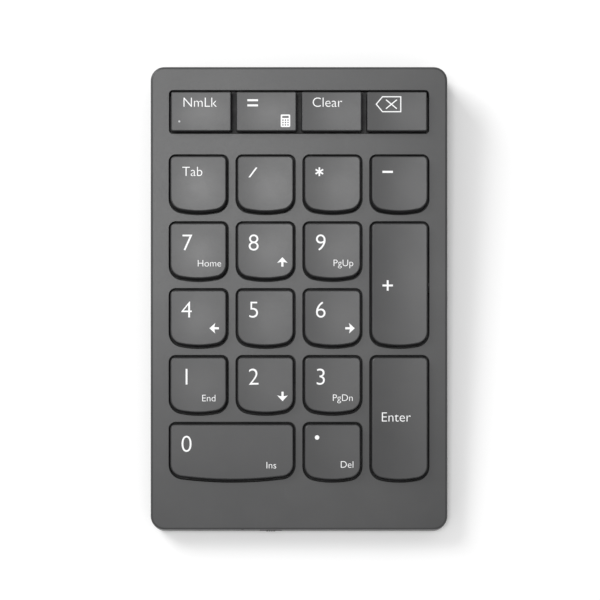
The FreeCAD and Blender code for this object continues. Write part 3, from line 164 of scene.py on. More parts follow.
class KeypadPaint(bpy.types.PropertyGroup):
    """Colours of the keypad's finishes."""

    cover: colour("Cover", "Upper cover's plastic", 0.038, 0.0384, 0.0395)
    base: colour("Base", "Lower cover's plastic", 0.026, 0.0263, 0.027)
    keycap: colour("Keycap", "Keycap plastic", 0.034, 0.0343, 0.0355)
    legend: colour("Legend", "Printed legends", 0.88, 0.885, 0.89)
    lever: colour("Lever", "Acetal levers", 0.014, 0.014, 0.015)
    switch: colour("Switch", "Slide switch", 0.012, 0.012, 0.013)
    chip: colour("Chip", "Component bodies", 0.016, 0.016, 0.018)
    sleeve: colour("Sleeve", "Battery lead's sleeve", 0.022, 0.022, 0.023)
    plate: colour("Plate", "Black coating of the support plate", 0.020, 0.020, 0.021)
    wire: colour("Wire", "Stabilizer wires", 0.56, 0.56, 0.55)
    socket: colour("Socket", "Charging socket's shell", 0.66, 0.66, 0.67)
    screw: colour("Screw", "Blackened screws", 0.13, 0.13, 0.14)
    film: colour("Film", "Membrane's black upper film", 0.008, 0.008, 0.009)
    silver: colour("Silver", "Conductors that show faintly through the film", 0.020, 0.020, 0.021)
    laminate: colour("Laminate", "Board's resist", 0.012, 0.11, 0.045)
    copper: colour("Copper", "Board's tracks under the resist", 0.05, 0.22, 0.07)
    pouch: colour("Pouch", "Battery's foil", 0.66, 0.67, 0.69)
    rubber: colour("Feet", "Foot rubber", 0.018, 0.018, 0.019)
    dome: colour("Domes", "Silicone domes", 0.62, 0.62, 0.60)
    lamp: colour("Lamp", "Status light when off", 0.030, 0.031, 0.033)
    lock_lamp: colour("Lock light", "Lock light when off", 0.34, 0.35, 0.36)
    floor: colour("Floor", "Pale floor", 0.93, 0.93, 0.93)


class KeypadPrint(bpy.types.PropertyGroup):
    """How the legends and the small lights are made."""

    ink: length("Ink", "Legend's height above the keycap", 0.02)
    digit: length("Digit height", "Height of the large digits", 4.6)
    title: length("Title height", "Capital height of the words on function keys", 2.65)
    word: length("Word height", "Capital height of the small words", 1.88)
    lock_round: length("Lock light", "Radius of the lock light", 0.34)
    curve_steps: count("Curve steps", "Steps along each letter's curves", 6, 2)
    dome_steps: count("Dome steps", "Sides of a rubber dome", 40, 12)


class KeypadWear(bpy.types.PropertyGroup):
    """Age and surface of the plastics."""

    grain: length("Grain", "Size of the moulded texture", 0.22)
    edge: length("Edge", "Width of the worn edge", 0.22)
    # Edge lightening of the plastics: rubbed wear, and on the keycaps also a painted highlight.
    edge_wear_and_highlight: share("Edge wear", "How far worn edges lighten", 0.30)
    polish: share("Polish", "How far fingers have smoothed the keycaps", 0.40)
    dust: share("Dust", "Fine dust on upward faces", 0.05)


class KeypadStudio(bpy.types.PropertyGroup):
    """Camera, floor and lights."""

    camera_away: length("Camera distance", "Camera above the deck", 520)
    view_wide: length("View width", "Width seen at the deck", 170.9)
    aim_across: length("Aim across", "Point looked at, across the deck", 0.28)
    aim_along: length("Aim along", "Point looked at, along the deck", -0.35)
    floor_wide: length("Floor", "Side of the floor", 6000)
    key_power: power("Key light", "Soft light above the deck", 3.05)
    rim_power: power("Rim light", "Low light behind on the left", 7.0)
    sky: share("Sky", "Brightness of the surrounding", 0.62)


# ---- node trees ----


class Tree:
    """A node tree, with short ways to fill it."""

    def __init__(self, tree):
        self.nodes, self.links = tree.nodes, tree.links

    def add(self, kind, **settings):
        """A new node with those settings."""
        node = self.nodes.new(kind)
        for name, value in settings.items():
            setattr(node, name, value)
        return node

    def feed(self, node, **values):
        """Join or set the node's inputs, named with underscores for spaces."""
        for name, value in values.items():
            socket = node.inputs[name.replace("_", " ")]
            if isinstance(value, bpy.types.NodeSocket):
                self.links.new(value, socket)
            else:
                socket.default_value = value
        return node

    def noise(self, where, scale, detail=4.0, roughness=0.55):
        """Soft noise between nought and one."""
        node = self.add("ShaderNodeTexNoise")
        self.feed(node, Vector=where, Scale=scale, Detail=detail, Roughness=roughness)
        return node.outputs["Fac"]

    def remap(self, value, low, high, new_low=0.0, new_high=1.0):
        """The value's range from low to high, stretched to the new one and clamped."""
        node = self.add("ShaderNodeMapRange")
        self.feed(node, Value=value, From_Min=low, From_Max=high, To_Min=new_low, To_Max=new_high)
        return node.outputs["Result"]

    def maths(self, operation, first, second=0.0):
        """A sum, product or the like of two values."""
        node = self.add("ShaderNodeMath", operation=operation)
        for socket, value in zip(node.inputs, (first, second)):
            if isinstance(value, bpy.types.NodeSocket):
                self.links.new(value, socket)
            else:
                socket.default_value = value
        return node.outputs[0]

    def mix(self, amount, first, second):
        """A colour between two."""
        node = self.add("ShaderNodeMix", data_type="RGBA")
        for place, value in ((0, amount), (6, first), (7, second)):
            if isinstance(value, bpy.types.NodeSocket):
                self.links.new(value, node.inputs[place])
            else:
                node.inputs[place].default_value = value if place == 0 else (*value[:3], 1)
        return node.outputs[2]

    def stretch(self, where, across, along, up):
        """The coordinates, scaled differently each way."""
        node = self.add("ShaderNodeMapping")
        self.feed(node, Vector=where, Scale=(across, along, up))
        return node.outputs["Vector"]

    def group(self, effect, **values):
        """One of the shared effects, with its inputs joined or set."""
        return self.feed(self.add("ShaderNodeGroup", node_tree=effect), **values).outputs


def effect(name, inputs, outputs, fill):
    """A shared effect as a node group; fill(tree, inputs) gives the values of its outputs."""
    group = bpy.data.node_groups.get(name)
    if group:
        return group
    group = bpy.data.node_groups.new(name, "ShaderNodeTree")
    for label, kind, default in inputs:
        socket = group.interface.new_socket(label, in_out="INPUT", socket_type="NodeSocket" + kind)
        if default is not None:
            socket.default_value = default
    for label, kind in outputs:
        group.interface.new_socket(label, in_out="OUTPUT", socket_type="NodeSocket" + kind)
    tree = Tree(group)
    entry = tree.add("NodeGroupInput").outputs
    leave = tree.add("NodeGroupOutput")
    for (label, _), value in zip(outputs, fill(tree, entry)):
        tree.links.new(value, leave.inputs[label])
    return group


def moulded_grain():
    """Fine spark-eroded texture with slow mottling, for moulded parts."""

    def fill(tree, entry):
        where = entry["Coordinates"]
        fine = tree.noise(where, tree.maths("DIVIDE", 1.0, entry["Size"]), 2.0, 0.6)
        pits = tree.add("ShaderNodeTexVoronoi", feature="SMOOTH_F1")
        tree.feed(pits, Vector=where, Scale=tree.maths("DIVIDE", 0.7, entry["Size"]))
        pitted = tree.maths("MULTIPLY", pits.outputs[0], 0.4)
        height = tree.maths("ADD", tree.maths("MULTIPLY", fine, 0.6), pitted)
        slow = tree.noise(where, 70.0, 3.0)
        return height, tree.remap(slow, 0.3, 0.7)

    return effect(
        "Moulded grain",
        (("Coordinates", "Vector", None), ("Size", "Float", 0.0002)),
        (("Height", "Float"), ("Mottle", "Float")),
        fill,
    )


def worn_and_highlit_edges():
    """Where edges lighten, broken up by noise: rubbed wear, and on the keycaps also a painted edge
    highlight.
    """

    def fill(tree, entry):
        bevel = tree.add("ShaderNodeBevel", samples=4)
        tree.feed(bevel, Radius=entry["Width"])
        flat = tree.add("ShaderNodeNewGeometry").outputs["Normal"]
        turn = tree.add("ShaderNodeVectorMath", operation="DOT_PRODUCT")
        tree.links.new(bevel.outputs["Normal"], turn.inputs[0])
        tree.links.new(flat, turn.inputs[1])
        sharp = tree.remap(turn.outputs["Value"], 0.70, 0.98, 1.0, 0.0)
        patches = tree.remap(tree.noise(entry["Coordinates"], 260.0, 5.0), 0.35, 0.62)
        return (tree.maths("MULTIPLY", sharp, tree.remap(patches, 0.0, 1.0, 0.35, 1.0)),)

    return effect(
        "Worn and highlit edges",
        (("Coordinates", "Vector", None), ("Width", "Float", 0.0002)),
        (("Mask", "Float"),),
        fill,
    )


def settled_dust():
    """Specks and haze on faces that look upward."""

    def fill(tree, entry):
        facing = tree.add("ShaderNodeSeparateXYZ")
        tree.links.new(tree.add("ShaderNodeNewGeometry").outputs["Normal"], facing.inputs[0])
        upward = tree.remap(facing.outputs["Z"], 0.3, 0.95)
        haze = tree.remap(tree.noise(entry["Coordinates"], 45.0, 5.0), 0.42, 0.75)
        specks = tree.remap(tree.noise(entry["Coordinates"], 2600.0, 1.0), 0.70, 0.80)
        both = tree.maths("ADD", tree.maths("MULTIPLY", haze, 0.55), tree.maths("MULTIPLY", specks, 0.45))
        return (tree.maths("MULTIPLY", upward, both),)

    return effect("Settled dust", (("Coordinates", "Vector", None),), (("Mask", "Float"),), fill)


def fine_scratches():
    """Hairline rubbing marks in two directions."""

    def fill(tree, entry):
        marks = []
        for across, along in ((30.0, 1400.0), (900.0, 60.0)):
            lines = tree.noise(tree.stretch(entry["Coordinates"], across, along, 200.0), 1.0, 3.0, 0.7)
            marks.append(tree.remap(lines, 0.60, 0.72))
        patches = tree.remap(tree.noise(entry["Coordinates"], 90.0, 2.0), 0.45, 0.6)
        return (tree.maths("MULTIPLY", tree.maths("MAXIMUM", *marks), patches),)

    return effect("Fine scratches", (("Coordinates", "Vector", None),), (("Mask", "Float"),), fill)


def rolled_metal():
    """Long rolling lines and slow stains, for sheet and wire."""

    def fill(tree, entry):
        where = entry["Coordinates"]
        lines = tree.noise(tree.stretch(where, 60.0, 4200.0, 900.0), 1.0, 4.0, 0.65)
        stains = tree.remap(tree.noise(where, 120.0, 4.0), 0.35, 0.7)
        return lines, stains

    return effect(
        "Rolled metal", (("Coordinates", "Vector", None),), (("Lines", "Float"), ("Stains", "Float")), fill
    )


def new_material(name):
    """An empty material: its tree, its shader and its object coordinates."""
    material = bpy.data.materials.new(name)
    material.use_nodes = True
    material.node_tree.nodes.clear()
    tree = Tree(material.node_tree)
    shader = tree.add("ShaderNodeBsdfPrincipled")
    ending = tree.add("ShaderNodeOutputMaterial")
    tree.links.new(shader.outputs["BSDF"], ending.inputs["Surface"])
    return material, tree, shader, tree.add("ShaderNodeTexCoord").outputs["Object"]


def raise_surface(tree, shader, height, depth):
    """Let a height shape the shader's normal."""
    bump = tree.feed(tree.add("ShaderNodeBump"), Height=height, Distance=depth, Strength=0.6)
    tree.links.new(bump.outputs["Normal"], shader.inputs["Normal"])


def scaled(shade, factor):
    """A colour made lighter or darker."""
    return tuple(min(1.0, part * factor) for part in shade)


# ---- finishes ----


def plastic(name, shade, grain, depth, smooth, rough, wear=1.0, dust=1.0, polish=0.0, bend=1.5):
    """Moulded plastic with grain, lightened edges (rubbed wear, and a painted highlight where wear is
    raised), scratches and a little dust.
    """
    settings = bpy.context.scene.keypad_wear
    material, tree, shader, where = new_material(name)
    texture = tree.group(moulded_grain(), Coordinates=where, Size=grain)
    rubbed = tree.group(worn_and_highlit_edges(), Coordinates=where, Width=settings.edge)["Mask"]
    dusty = tree.group(settled_dust(), Coordinates=where)["Mask"]
    scratched = tree.group(fine_scratches(), Coordinates=where)["Mask"]
    body = tree.mix(texture["Mottle"], scaled(shade, 0.95), scaled(shade, 1.06))
    body = tree.mix(tree.maths("MULTIPLY", scratched, 0.12), body, scaled(shade, 1.8))
    # Lighter edges: rubbed wear, and where wear is raised, as on the keycaps, a painted highlight along
    # the edges.
    body = tree.mix(tree.maths("MULTIPLY", rubbed, settings.edge_wear_and_highlight * wear), body, scaled(shade, 2.2))
    body = tree.mix(tree.maths("MULTIPLY", dusty, settings.dust * dust), body, (0.34, 0.33, 0.31))
    gloss = tree.remap(texture["Height"], 0.25, 0.75, smooth, rough)
    if polish:
        box = tree.add("ShaderNodeTexCoord").outputs["Generated"]
        middle = tree.add("ShaderNodeVectorMath", operation="DISTANCE")
        middle.inputs[1].default_value = (0.5, 0.45, 0.8)
        tree.links.new(box, middle.inputs[0])
        blur = tree.maths("MULTIPLY", tree.noise(where, 400.0, 3.0), 0.25)
        touched = tree.remap(tree.maths("ADD", middle.outputs["Value"], blur), 0.2, 0.62, 1.0, 0.0)
        gloss = tree.maths("SUBTRACT", gloss, tree.maths("MULTIPLY", touched, 0.10 * polish))
    gloss = tree.maths("SUBTRACT", gloss, tree.maths("MULTIPLY", rubbed, 0.08 * wear))
    tree.feed(shader, Base_Color=body, Roughness=gloss)
    shader.inputs["IOR"].default_value = bend
    raise_surface(tree, shader, texture["Height"], depth)
    return material


def metal(name, shade, rough, edge_shade=None):
    """Rolled or drawn steel, brighter where it is rubbed."""
    material, tree, shader, where = new_material(name)
    rolled = tree.group(rolled_metal(), Coordinates=where)
    rubbed = tree.group(worn_and_highlit_edges(), Coordinates=where, Width=0.00012)["Mask"]
    body = tree.mix(rolled["Stains"], scaled(shade, 0.86), scaled(shade, 1.05))
    body = tree.mix(tree.maths("MULTIPLY", rubbed, 0.6), body, edge_shade or scaled(shade, 1.3))
    tree.feed(shader, Base_Color=body)
    tree.feed(shader, Roughness=tree.remap(rolled["Lines"], 0.3, 0.7, rough, rough + 0.16))
    shader.inputs["Metallic"].default_value = 1.0
    raise_surface(tree, shader, rolled["Lines"], 0.000006)
    return material


def rubber(name, shade, rough, see_through=0.0):
    """Moulded rubber with a dry bloom."""
    material, tree, shader, where = new_material(name)
    texture = tree.group(moulded_grain(), Coordinates=where, Size=0.00016)
    dusty = tree.group(settled_dust(), Coordinates=where)["Mask"]
    bloom = tree.remap(tree.noise(where, 500.0, 4.0), 0.45, 0.75)
    body = tree.mix(tree.maths("MULTIPLY", bloom, 0.3), shade, scaled(shade, 1.7))
    body = tree.mix(tree.maths("MULTIPLY", dusty, 0.12), body, (0.4, 0.39, 0.37))
    tree.feed(shader, Base_Color=body)
    tree.feed(shader, Roughness=tree.remap(texture["Height"], 0.3, 0.7, rough, rough + 0.12))
    shader.inputs["Subsurface Weight"].default_value = see_through
    shader.inputs["Subsurface Scale"].default_value = 0.001
    raise_surface(tree, shader, texture["Height"], 0.000012)
    return material


def printed_film(paint):
    """Black polyester film over fine silver conductors."""
    material, tree, shader, where = new_material("membrane_film")
    lines = tree.add("ShaderNodeTexBrick", offset=0.5, squash=1.0)
    tree.feed(lines, Vector=where, Scale=1.0, Mortar_Size=0.00025, Mortar_Smooth=0.15)
    tree.feed(lines, Brick_Width=0.0095, Row_Height=0.0032, Bias=0.0)
    conductor = tree.remap(lines.outputs["Fac"], 0.3, 0.6)
    haze = tree.noise(where, 160.0, 4.0)
    clear = tree.mix(tree.remap(haze, 0.3, 0.7), scaled(paint.film, 0.9), scaled(paint.film, 1.05))
    tree.feed(shader, Base_Color=tree.mix(conductor, clear, paint.silver))
    tree.feed(shader, Roughness=tree.remap(haze, 0.3, 0.7, 0.5, 0.62))
    raise_surface(tree, shader, conductor, 0.00001)
    return material


def board_resist(paint):
    """Green resist over copper tracks and a glass weave."""
    material, tree, shader, where = new_material("board_resist")
    tracks = tree.add("ShaderNodeTexVoronoi", feature="DISTANCE_TO_EDGE", distance="EUCLIDEAN")
    tree.feed(tracks, Vector=tree.stretch(where, 240.0, 150.0, 10.0), Scale=1.0, Randomness=0.35)
    copper = tree.remap(tracks.outputs["Distance"], 0.03, 0.09, 1.0, 0.0)
    weave = tree.add("ShaderNodeTexChecker")
    tree.feed(weave, Vector=where, Scale=3300.0)
    body = tree.mix(copper, paint.laminate, paint.copper)
    body = tree.mix(tree.maths("MULTIPLY", weave.outputs["Fac"], 0.12), body, scaled(paint.laminate, 1.8))
    haze = tree.remap(tree.noise(where, 300.0, 3.0), 0.3, 0.7, 0.22, 0.36)
    tree.feed(shader, Base_Color=body, Roughness=haze)
    raise_surface(tree, shader, copper, 0.00003)
    return material


def crinkled_pouch(paint):
    """Laminated foil with soft creases."""
    material, tree, shader, where = new_material("pouch_foil")
    creases = tree.noise(where, 160.0, 5.0, 0.5)
    sheen = tree.remap(tree.noise(where, 900.0, 2.0), 0.3, 0.7, 0.3, 0.44)
    body = tree.mix(tree.remap(creases, 0.35, 0.65), scaled(paint.pouch, 0.88), scaled(paint.pouch, 1.04))
    tree.feed(shader, Base_Color=body, Roughness=sheen)
    shader.inputs["Metallic"].default_value = 0.85
    raise_surface(tree, shader, creases, 0.00025)
    return material


def smoked_lens(name, shade, rough):
    """Clear tinted plastic over an unlit lamp."""
    material, tree, shader, where = new_material(name)
    cloud = tree.noise(where, 1500.0, 3.0)
    tint = tree.mix(tree.remap(cloud, 0.3, 0.7), scaled(shade, 0.85), scaled(shade, 1.15))
    tree.feed(shader, Base_Color=tint)
    tree.feed(shader, Roughness=tree.remap(cloud, 0.3, 0.7, rough, rough + 0.08))
    shader.inputs["Coat Weight"].default_value = 0.6
    raise_surface(tree, shader, cloud, 0.000004)
    return material


def legend_ink(paint):
    """Matte print, a little thin and soft in places."""
    material, tree, shader, where = new_material("legend_ink")
    thin = tree.remap(tree.noise(where, 5200.0, 3.0), 0.35, 0.65)
    slow = tree.remap(tree.noise(where, 600.0, 3.0), 0.3, 0.7)
    body = tree.mix(thin, scaled(paint.legend, 0.94), paint.legend)
    body = tree.mix(tree.maths("MULTIPLY", slow, 0.3), body, scaled(paint.legend, 0.92))
    tree.feed(shader, Base_Color=body, Roughness=tree.remap(slow, 0.0, 1.0, 0.42, 0.55))
    raise_surface(tree, shader, thin, 0.000003)
    return material


def dress(material, *names):
    """Give CAD nodes a finish."""
    for name in names:
        node = NODES[name]
        for slot in node.material_slots:
            slot.material = material
        if not node.material_slots:
            node.data.materials.append(material)


# ---- legend shapes, in millimetres about their own middles ----


def rectangle(wide, high, across=0.0, along=0.0):
    """A rectangle's corners."""
    return [(across + x * wide / 2, along + y * high / 2) for x, y in ((-1, -1), (1, -1), (1, 1), (-1, 1))]


def turned(loop, degrees, across=0.0, along=0.0):
    """A loop turned about its middle, then moved."""
    cos, sin = math.cos(math.radians(degrees)), math.sin(math.radians(degrees))
    return [(across + x * cos - y * sin, along + x * sin + y * cos) for x, y in loop]


def star(arms, reach, half):
    """A star of straight arms of even width."""
    step = math.pi / arms
    inner = half / math.sin(step)
    outer = math.hypot(reach, half)
    loop = []
    for arm in range(arms):
        middle = math.pi / 2 + 2 * step * arm
        for side in (-1, 1):
            turn = middle + side * math.atan2(half, reach)
            loop.append((outer * math.cos(turn), outer * math.sin(turn)))
        loop.append((inner * math.cos(middle + step), inner * math.sin(middle + step)))
    return loop


def disc(radius, steps=32):
    """A round dot."""
    turns = (2 * math.pi * step / steps for step in range(steps))
    return [(radius * math.cos(turn), radius * math.sin(turn)) for turn in turns]


def arrow(degrees):
    """A cursor arrow that points up before it is turned."""
    half = [(0.0, 1.34), (1.5, -0.3), (1.1, -0.18), (0.7, -0.1), (0.3, -0.06), (0.3, -1.34)]
    loop = half + [(-x, y) for x, y in reversed(half[1:])]
    return [turned(loop, degrees)]


def calculator():
    """A small calculator with a display and nine buttons."""
    corner = 0.3
    outer = [
        (x * (1.34 - corner) + corner * math.cos(turn), y * (1.78 - corner) + corner * math.sin(turn))
        for x, y, start in ((1, 1, 0), (-1, 1, 90), (-1, -1, 180), (1, -1, 270))
        for turn in (math.radians(start + 22.5 * step) for step in range(5))
    ]
    loops = [outer, rectangle(1.85, 0.6, 0.0, 1.08)]
    for column in (-1, 0, 1):
        for row in range(3):
            loops.append(rectangle(0.38, 0.38, column * 0.72, 0.18 - row * 0.68))
    return loops


def erase_arrow():
    """An outlined tag that points left, with a cross in it."""
    outer = [(-3.65, 0.0), (-1.75, -2.27), (3.65, -2.27), (3.65, 2.27), (-1.75, 2.27)]
    inner = [(-3.26, 0.0), (-1.62, -1.97), (3.35, -1.97), (3.35, 1.97), (-1.62, 1.97)]
    cross = turned(star(4, 1.95, 0.15), 45)
    return [outer, inner, [(0.85 + x * 1.12, y * 0.92) for x, y in cross]]


SHAPES = {
    "plus": [star(4, 1.48, 0.27)],
    "minus": [rectangle(2.98, 0.6)],
    "equals": [rectangle(3.02, 0.56, 0, 0.73), rectangle(3.02, 0.56, 0, -0.73)],
    "slash": [[(-1.28, -1.4), (-0.78, -1.4), (1.28, 1.4), (0.78, 1.4)]],
    "star": [star(6, 1.24, 0.22)],
    "point": [disc(0.63)],
    "calculator": calculator(),
    "erase": erase_arrow(),
    "up": arrow(0),
    "left": arrow(90),
    "down": arrow(180),
    "right": arrow(270),
}

# What is printed on each keycap: text or shape, kind, and its place from the keycap's left and rear
# edges, in millimetres. A digit goes by its middle and baseline, a title or word by its left end and
# baseline, and a shape by its middle.
LEGENDS = {
    "key_num_lock": (("NmLk", "title", 3.7, 4.45),),
    "key_equals": (("equals", "shape", 4.8, 3.3), ("calculator", "shape", 14.1, 8.4)),
    "key_clear": (("Clear", "title", 3.3, 4.45),),
    "key_backspace": (("erase", "shape", 6.25, 3.7),),
    "key_tab": (("Tab", "title", 3.5, 5.78),),
    "key_divide": (("slash", "shape", 4.5, 4.75),),
    "key_multiply": (("star", "shape", 4.3, 4.55),),
    "key_minus": (("minus", "shape", 4.65, 4.6),),
    "key_7": (("7", "digit", 4.95, 7.9), ("Home", "word", 7.9, 12.42)),
    "key_8": (("8", "digit", 4.7, 7.9), ("up", "shape", 12.85, 11.1)),
    "key_9": (("9", "digit", 4.7, 7.9), ("PgUp", "word", 8.35, 12.32)),
    "key_plus": (("plus", "shape", 4.65, 17.8),),
    "key_4": (("4", "digit", 4.7, 7.9), ("left", "shape", 12.55, 10.9)),
    "key_5": (("5", "digit", 4.7, 7.9),),
    "key_6": (("6", "digit", 4.7, 7.9), ("right", "shape", 13.0, 10.9)),
    "key_1": (("1", "digit", 4.7, 7.9), ("End", "word", 9.15, 12.6)),
    "key_2": (("2", "digit", 4.7, 7.9), ("down", "shape", 12.9, 11.2)),
    "key_3": (("3", "digit", 4.7, 7.9), ("PgDn", "word", 8.15, 12.5)),
    "key_enter": (("Enter", "title", 3.0, 18.35),),
    "key_0": (("0", "digit", 4.7, 7.9), ("Ins", "word", 27.4, 12.6)),
    "key_decimal": (("point", "shape", 3.65, 3.8), ("Del", "word", 10.4, 12.4)),
}
# Where the lock light sits on its keycap, from the left and rear edges.
LOCK_LIGHT = ("key_num_lock", 2.5, 8.6)


def from_curve(curve):
    """A closed mesh of a flat curve's filled outlines."""
    holder = bpy.data.objects.new("outline", curve)
    bpy.context.scene.collection.objects.link(holder)
    bpy.context.view_layer.update()
    mesh = bpy.data.meshes.new_from_object(holder)
    bpy.data.objects.remove(holder)
    bpy.data.curves.remove(curve)
    return mesh


def text_mesh(text, capital, ink, steps):
    """Raised lettering with its capitals at that height, its left end and baseline at the origin."""
    curve = bpy.data.curves.new("lettering", "FONT")
    curve.body = text
    curve.offset = -0.011
    curve.resolution_u = steps
    curve.extrude = 0.5
    mesh = from_curve(curve)
    scale = capital / capital_share()
    left = min(vertex.co.x for vertex in mesh.vertices)
    for vertex in mesh.vertices:
        vertex.co = ((vertex.co.x - left) * scale, vertex.co.y * scale, math.copysign(ink, vertex.co.z))
    return mesh


def capital_share():
    """How tall a capital is in lettering of size one."""
    curve = bpy.data.curves.new("capital", "FONT")
    curve.body = "H"
    mesh = from_curve(curve)
    tall = max(vertex.co.y for vertex in mesh.vertices)
    bpy.data.meshes.remove(mesh)
    return tall


def shape_mesh(loops, ink):
    """A raised flat shape; a loop inside another is a hole in it."""
    curve = bpy.data.curves.new("shape", "CURVE")
    curve.dimensions = "2D"
    curve.fill_mode = "BOTH"
    curve.extrude = 0.5
    for loop in loops:
        spline = curve.splines.new("POLY")
        spline.points.add(len(loop) - 1)
        for point, (x, y) in zip(spline.points, loop):
            point.co = (x, y, 0, 1)
        spline.use_cyclic_u = True
    mesh = from_curve(curve)
    for vertex in mesh.vertices:
        vertex.co.z = math.copysign(ink, vertex.co.z)
    return mesh


class Keycap:
    """A keycap's left and rear edges on the deck, and its top."""

    def __init__(self, name):
        mesh = NODES[name].data
        places = [DECK.local(vertex.co) for vertex in mesh.vertices]
        self.left = min(place[0] for place in places)
        self.rear = max(place[1] for place in places)
        self.tree = BVHTree.FromPolygons(
            [vertex.co for vertex in mesh.vertices], [list(face.vertices) for face in mesh.polygons]
        )

    def surface(self, across, along):
        """How far above the deck the top is there."""
        above = DECK.world(across, along, RAY_START)
        hit = self.tree.ray_cast(above, -DECK.up, RAY_REACH)[0]
        if hit is None:
            raise RuntimeError("a legend reaches past its keycap")
        return DECK.local(hit)[2]

    def lay(self, mesh, across, along):
        """Move a flat mesh onto the top, which it then follows."""
        for vertex in mesh.vertices:
            x, y = self.left + across + vertex.co.x, self.rear - along + vertex.co.y
            vertex.co = DECK.world(x, y, self.surface(x, y) + vertex.co.z)


def joined(name, meshes):
    """One object of several meshes, welded."""
    shape = bmesh.new()
    for mesh in meshes:
        shape.from_mesh(mesh)
        bpy.data.meshes.remove(mesh)
    bmesh.ops.remove_doubles(shape, verts=shape.verts, dist=1e-7)
    bmesh.ops.recalc_face_normals(shape, faces=shape.faces)
    return finished(name, shape)


def finished(name, shape, smooth=False):
    """A new piece of the scene from a bmesh."""
    mesh = bpy.data.meshes.new(name)
    for face in shape.faces:
        face.smooth = smooth
    shape.to_mesh(mesh)
    shape.free()
    piece = bpy.data.objects.new(name, mesh)
    bpy.context.scene.collection.objects.link(piece)
    return piece


def turned_solid(name, outline, steps, middle):
    """A closed solid turned about the deck's normal at a place; the outline holds (radius, up)."""
    shape = bmesh.new()
    rings = []
    for radius, up in outline:
        if radius == 0:
            rings.append([shape.verts.new(DECK.world(middle[0], middle[1], up))])
            continue
        ring = []
        for step in range(steps):
            turn = 2 * math.pi * step / steps
            across, along = middle[0] + radius * math.cos(turn), middle[1] + radius * math.sin(turn)
            ring.append(shape.verts.new(DECK.world(across, along, up)))
        rings.append(ring)
    for lower, upper in zip(rings, rings[1:]):
        for step in range(steps):
            after = (step + 1) % steps
            corners = [lower[step % len(lower)], lower[after % len(lower)]]
            corners += [upper[after % len(upper)], upper[step % len(upper)]]
            shape.faces.new(list(dict.fromkeys(corners)))
    bmesh.ops.recalc_face_normals(shape, faces=shape.faces)
    return finished(name, shape, smooth=True)


# ---- operators ----


class KEYPAD_OT_covers(bpy.types.Operator):
    """Give the covers, feet and screws their finishes"""

    bl_idname = "keypad.covers"
    bl_label = "Covers, feet and screws"

    def execute(self, context):
        paint, wear = context.scene.keypad_paint, context.scene.keypad_wear
        cover = plastic("cover_plastic", paint.cover, wear.grain, 0.000008, 0.34, 0.41, bend=1.49)
        dress(cover, "top_cover")
        dress(plastic("base_plastic", paint.base, wear.grain * 1.5, 0.000022, 0.50, 0.62), "bottom_cover")
        dress(rubber("foot_rubber", paint.rubber, 0.66), "rubber_feet")
        dress(metal("screw_steel", paint.screw, 0.36, (0.42, 0.42, 0.43)), "case_screws")
        return {"FINISHED"}


class KEYPAD_OT_keycaps(bpy.types.Operator):
    """Give the keycaps their finish"""

    bl_idname = "keypad.keycaps"
    bl_label = "Keycaps"

    def execute(self, context):
        paint, wear = context.scene.keypad_paint, context.scene.keypad_wear
        finish = plastic(
            "key_plastic",
            paint.keycap,
            wear.grain * 0.7,
            0.000005,
            0.32,
            0.39,
            # Doubled edge lightening: part rubbed wear, part painted highlight along the keycaps' edges.
            wear=2.0,
            polish=wear.polish,
            bend=1.47,
        )
        dress(finish, *KEYS)
        return {"FINISHED"}


class KEYPAD_OT_legends(bpy.types.Operator):
    """Print each keycap's legend on its top"""

    bl_idname = "keypad.legends"
    bl_label = "Legends"

    def execute(self, context):
        settings = context.scene.keypad_print
        ink = settings.ink / MM
        heights = {"digit": settings.digit, "title": settings.title, "word": settings.word}
        finish = legend_ink(context.scene.keypad_paint)
        for key, marks in LEGENDS.items():
            cap = Keycap(key)
            meshes = []
            for what, kind, across, along in marks:
                if kind == "shape":
                    mesh = shape_mesh(SHAPES[what], ink)
                else:
                    mesh = text_mesh(what, heights[kind] / MM, ink, settings.curve_steps)
                if kind == "digit":
                    across -= max(vertex.co.x for vertex in mesh.vertices) / 2
                cap.lay(mesh, across, along)
                meshes.append(mesh)
            piece = joined(key.replace("key_", "legend_"), meshes)
            piece.data.materials.append(finish)
            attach(piece, key)
        return {"FINISHED"}


class KEYPAD_OT_lock_light(bpy.types.Operator):
    """Set the small lock light into its keycap"""

    bl_idname = "keypad.lock_light"
    bl_label = "Lock light"

    def execute(self, context):
        key, across, along = LOCK_LIGHT
        cap = Keycap(key)
        middle = (cap.left + across, cap.rear - along)
        top = cap.surface(*middle)
        radius = context.scene.keypad_print.lock_round / MM
        outline = [
            (0, top + 0.05),
            (radius * 0.45, top + 0.045),
            (radius * 0.8, top + 0.03),
            (radius, top + 0.005),
            (radius, top - 0.1),
            (0, top - 0.1),
        ]
        piece = turned_solid("lock_light", outline, 32, middle)
        piece.data.materials.append(smoked_lens("lock_lens", context.scene.keypad_paint.lock_lamp, 0.3))
        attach(piece, key)
        return {"FINISHED"}


class KEYPAD_OT_levers(bpy.types.Operator):
    """Finish the levers and wires, and give each lever its own mesh"""

    bl_idname = "keypad.levers"
    bl_label = "Levers and stabilizer wires"

    def execute(self, context):
        paint = context.scene.keypad_paint
        finish = plastic("lever_acetal", paint.lever, 0.00015, 0.000004, 0.34, 0.42, wear=0.3, dust=0.5)
        film_top = DECK.local(highest_film())[2]
        for key in KEYS:
            lever = key.replace("key_", "levers_")
            dress(finish, lever)
            anchor = DECK.world(0, DECK.local(middle_of(lever))[1], film_top)
            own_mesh(NODES[lever])
        wires = [name for name in NODES if name.startswith("stabilizer_bar_")]
        dress(metal("wire_steel", paint.wire, 0.22), *wires)
        return {"FINISHED"}


def middle_of(name):
    """The middle of a node's box."""
    low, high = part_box(name)
    return (low + high) / 2


def highest_film():
    """A point on the membrane's top face."""
    film = NODES["membrane_circuit"].data.vertices
    return max((vertex.co for vertex in film), key=lambda place: place.dot(DECK.up))


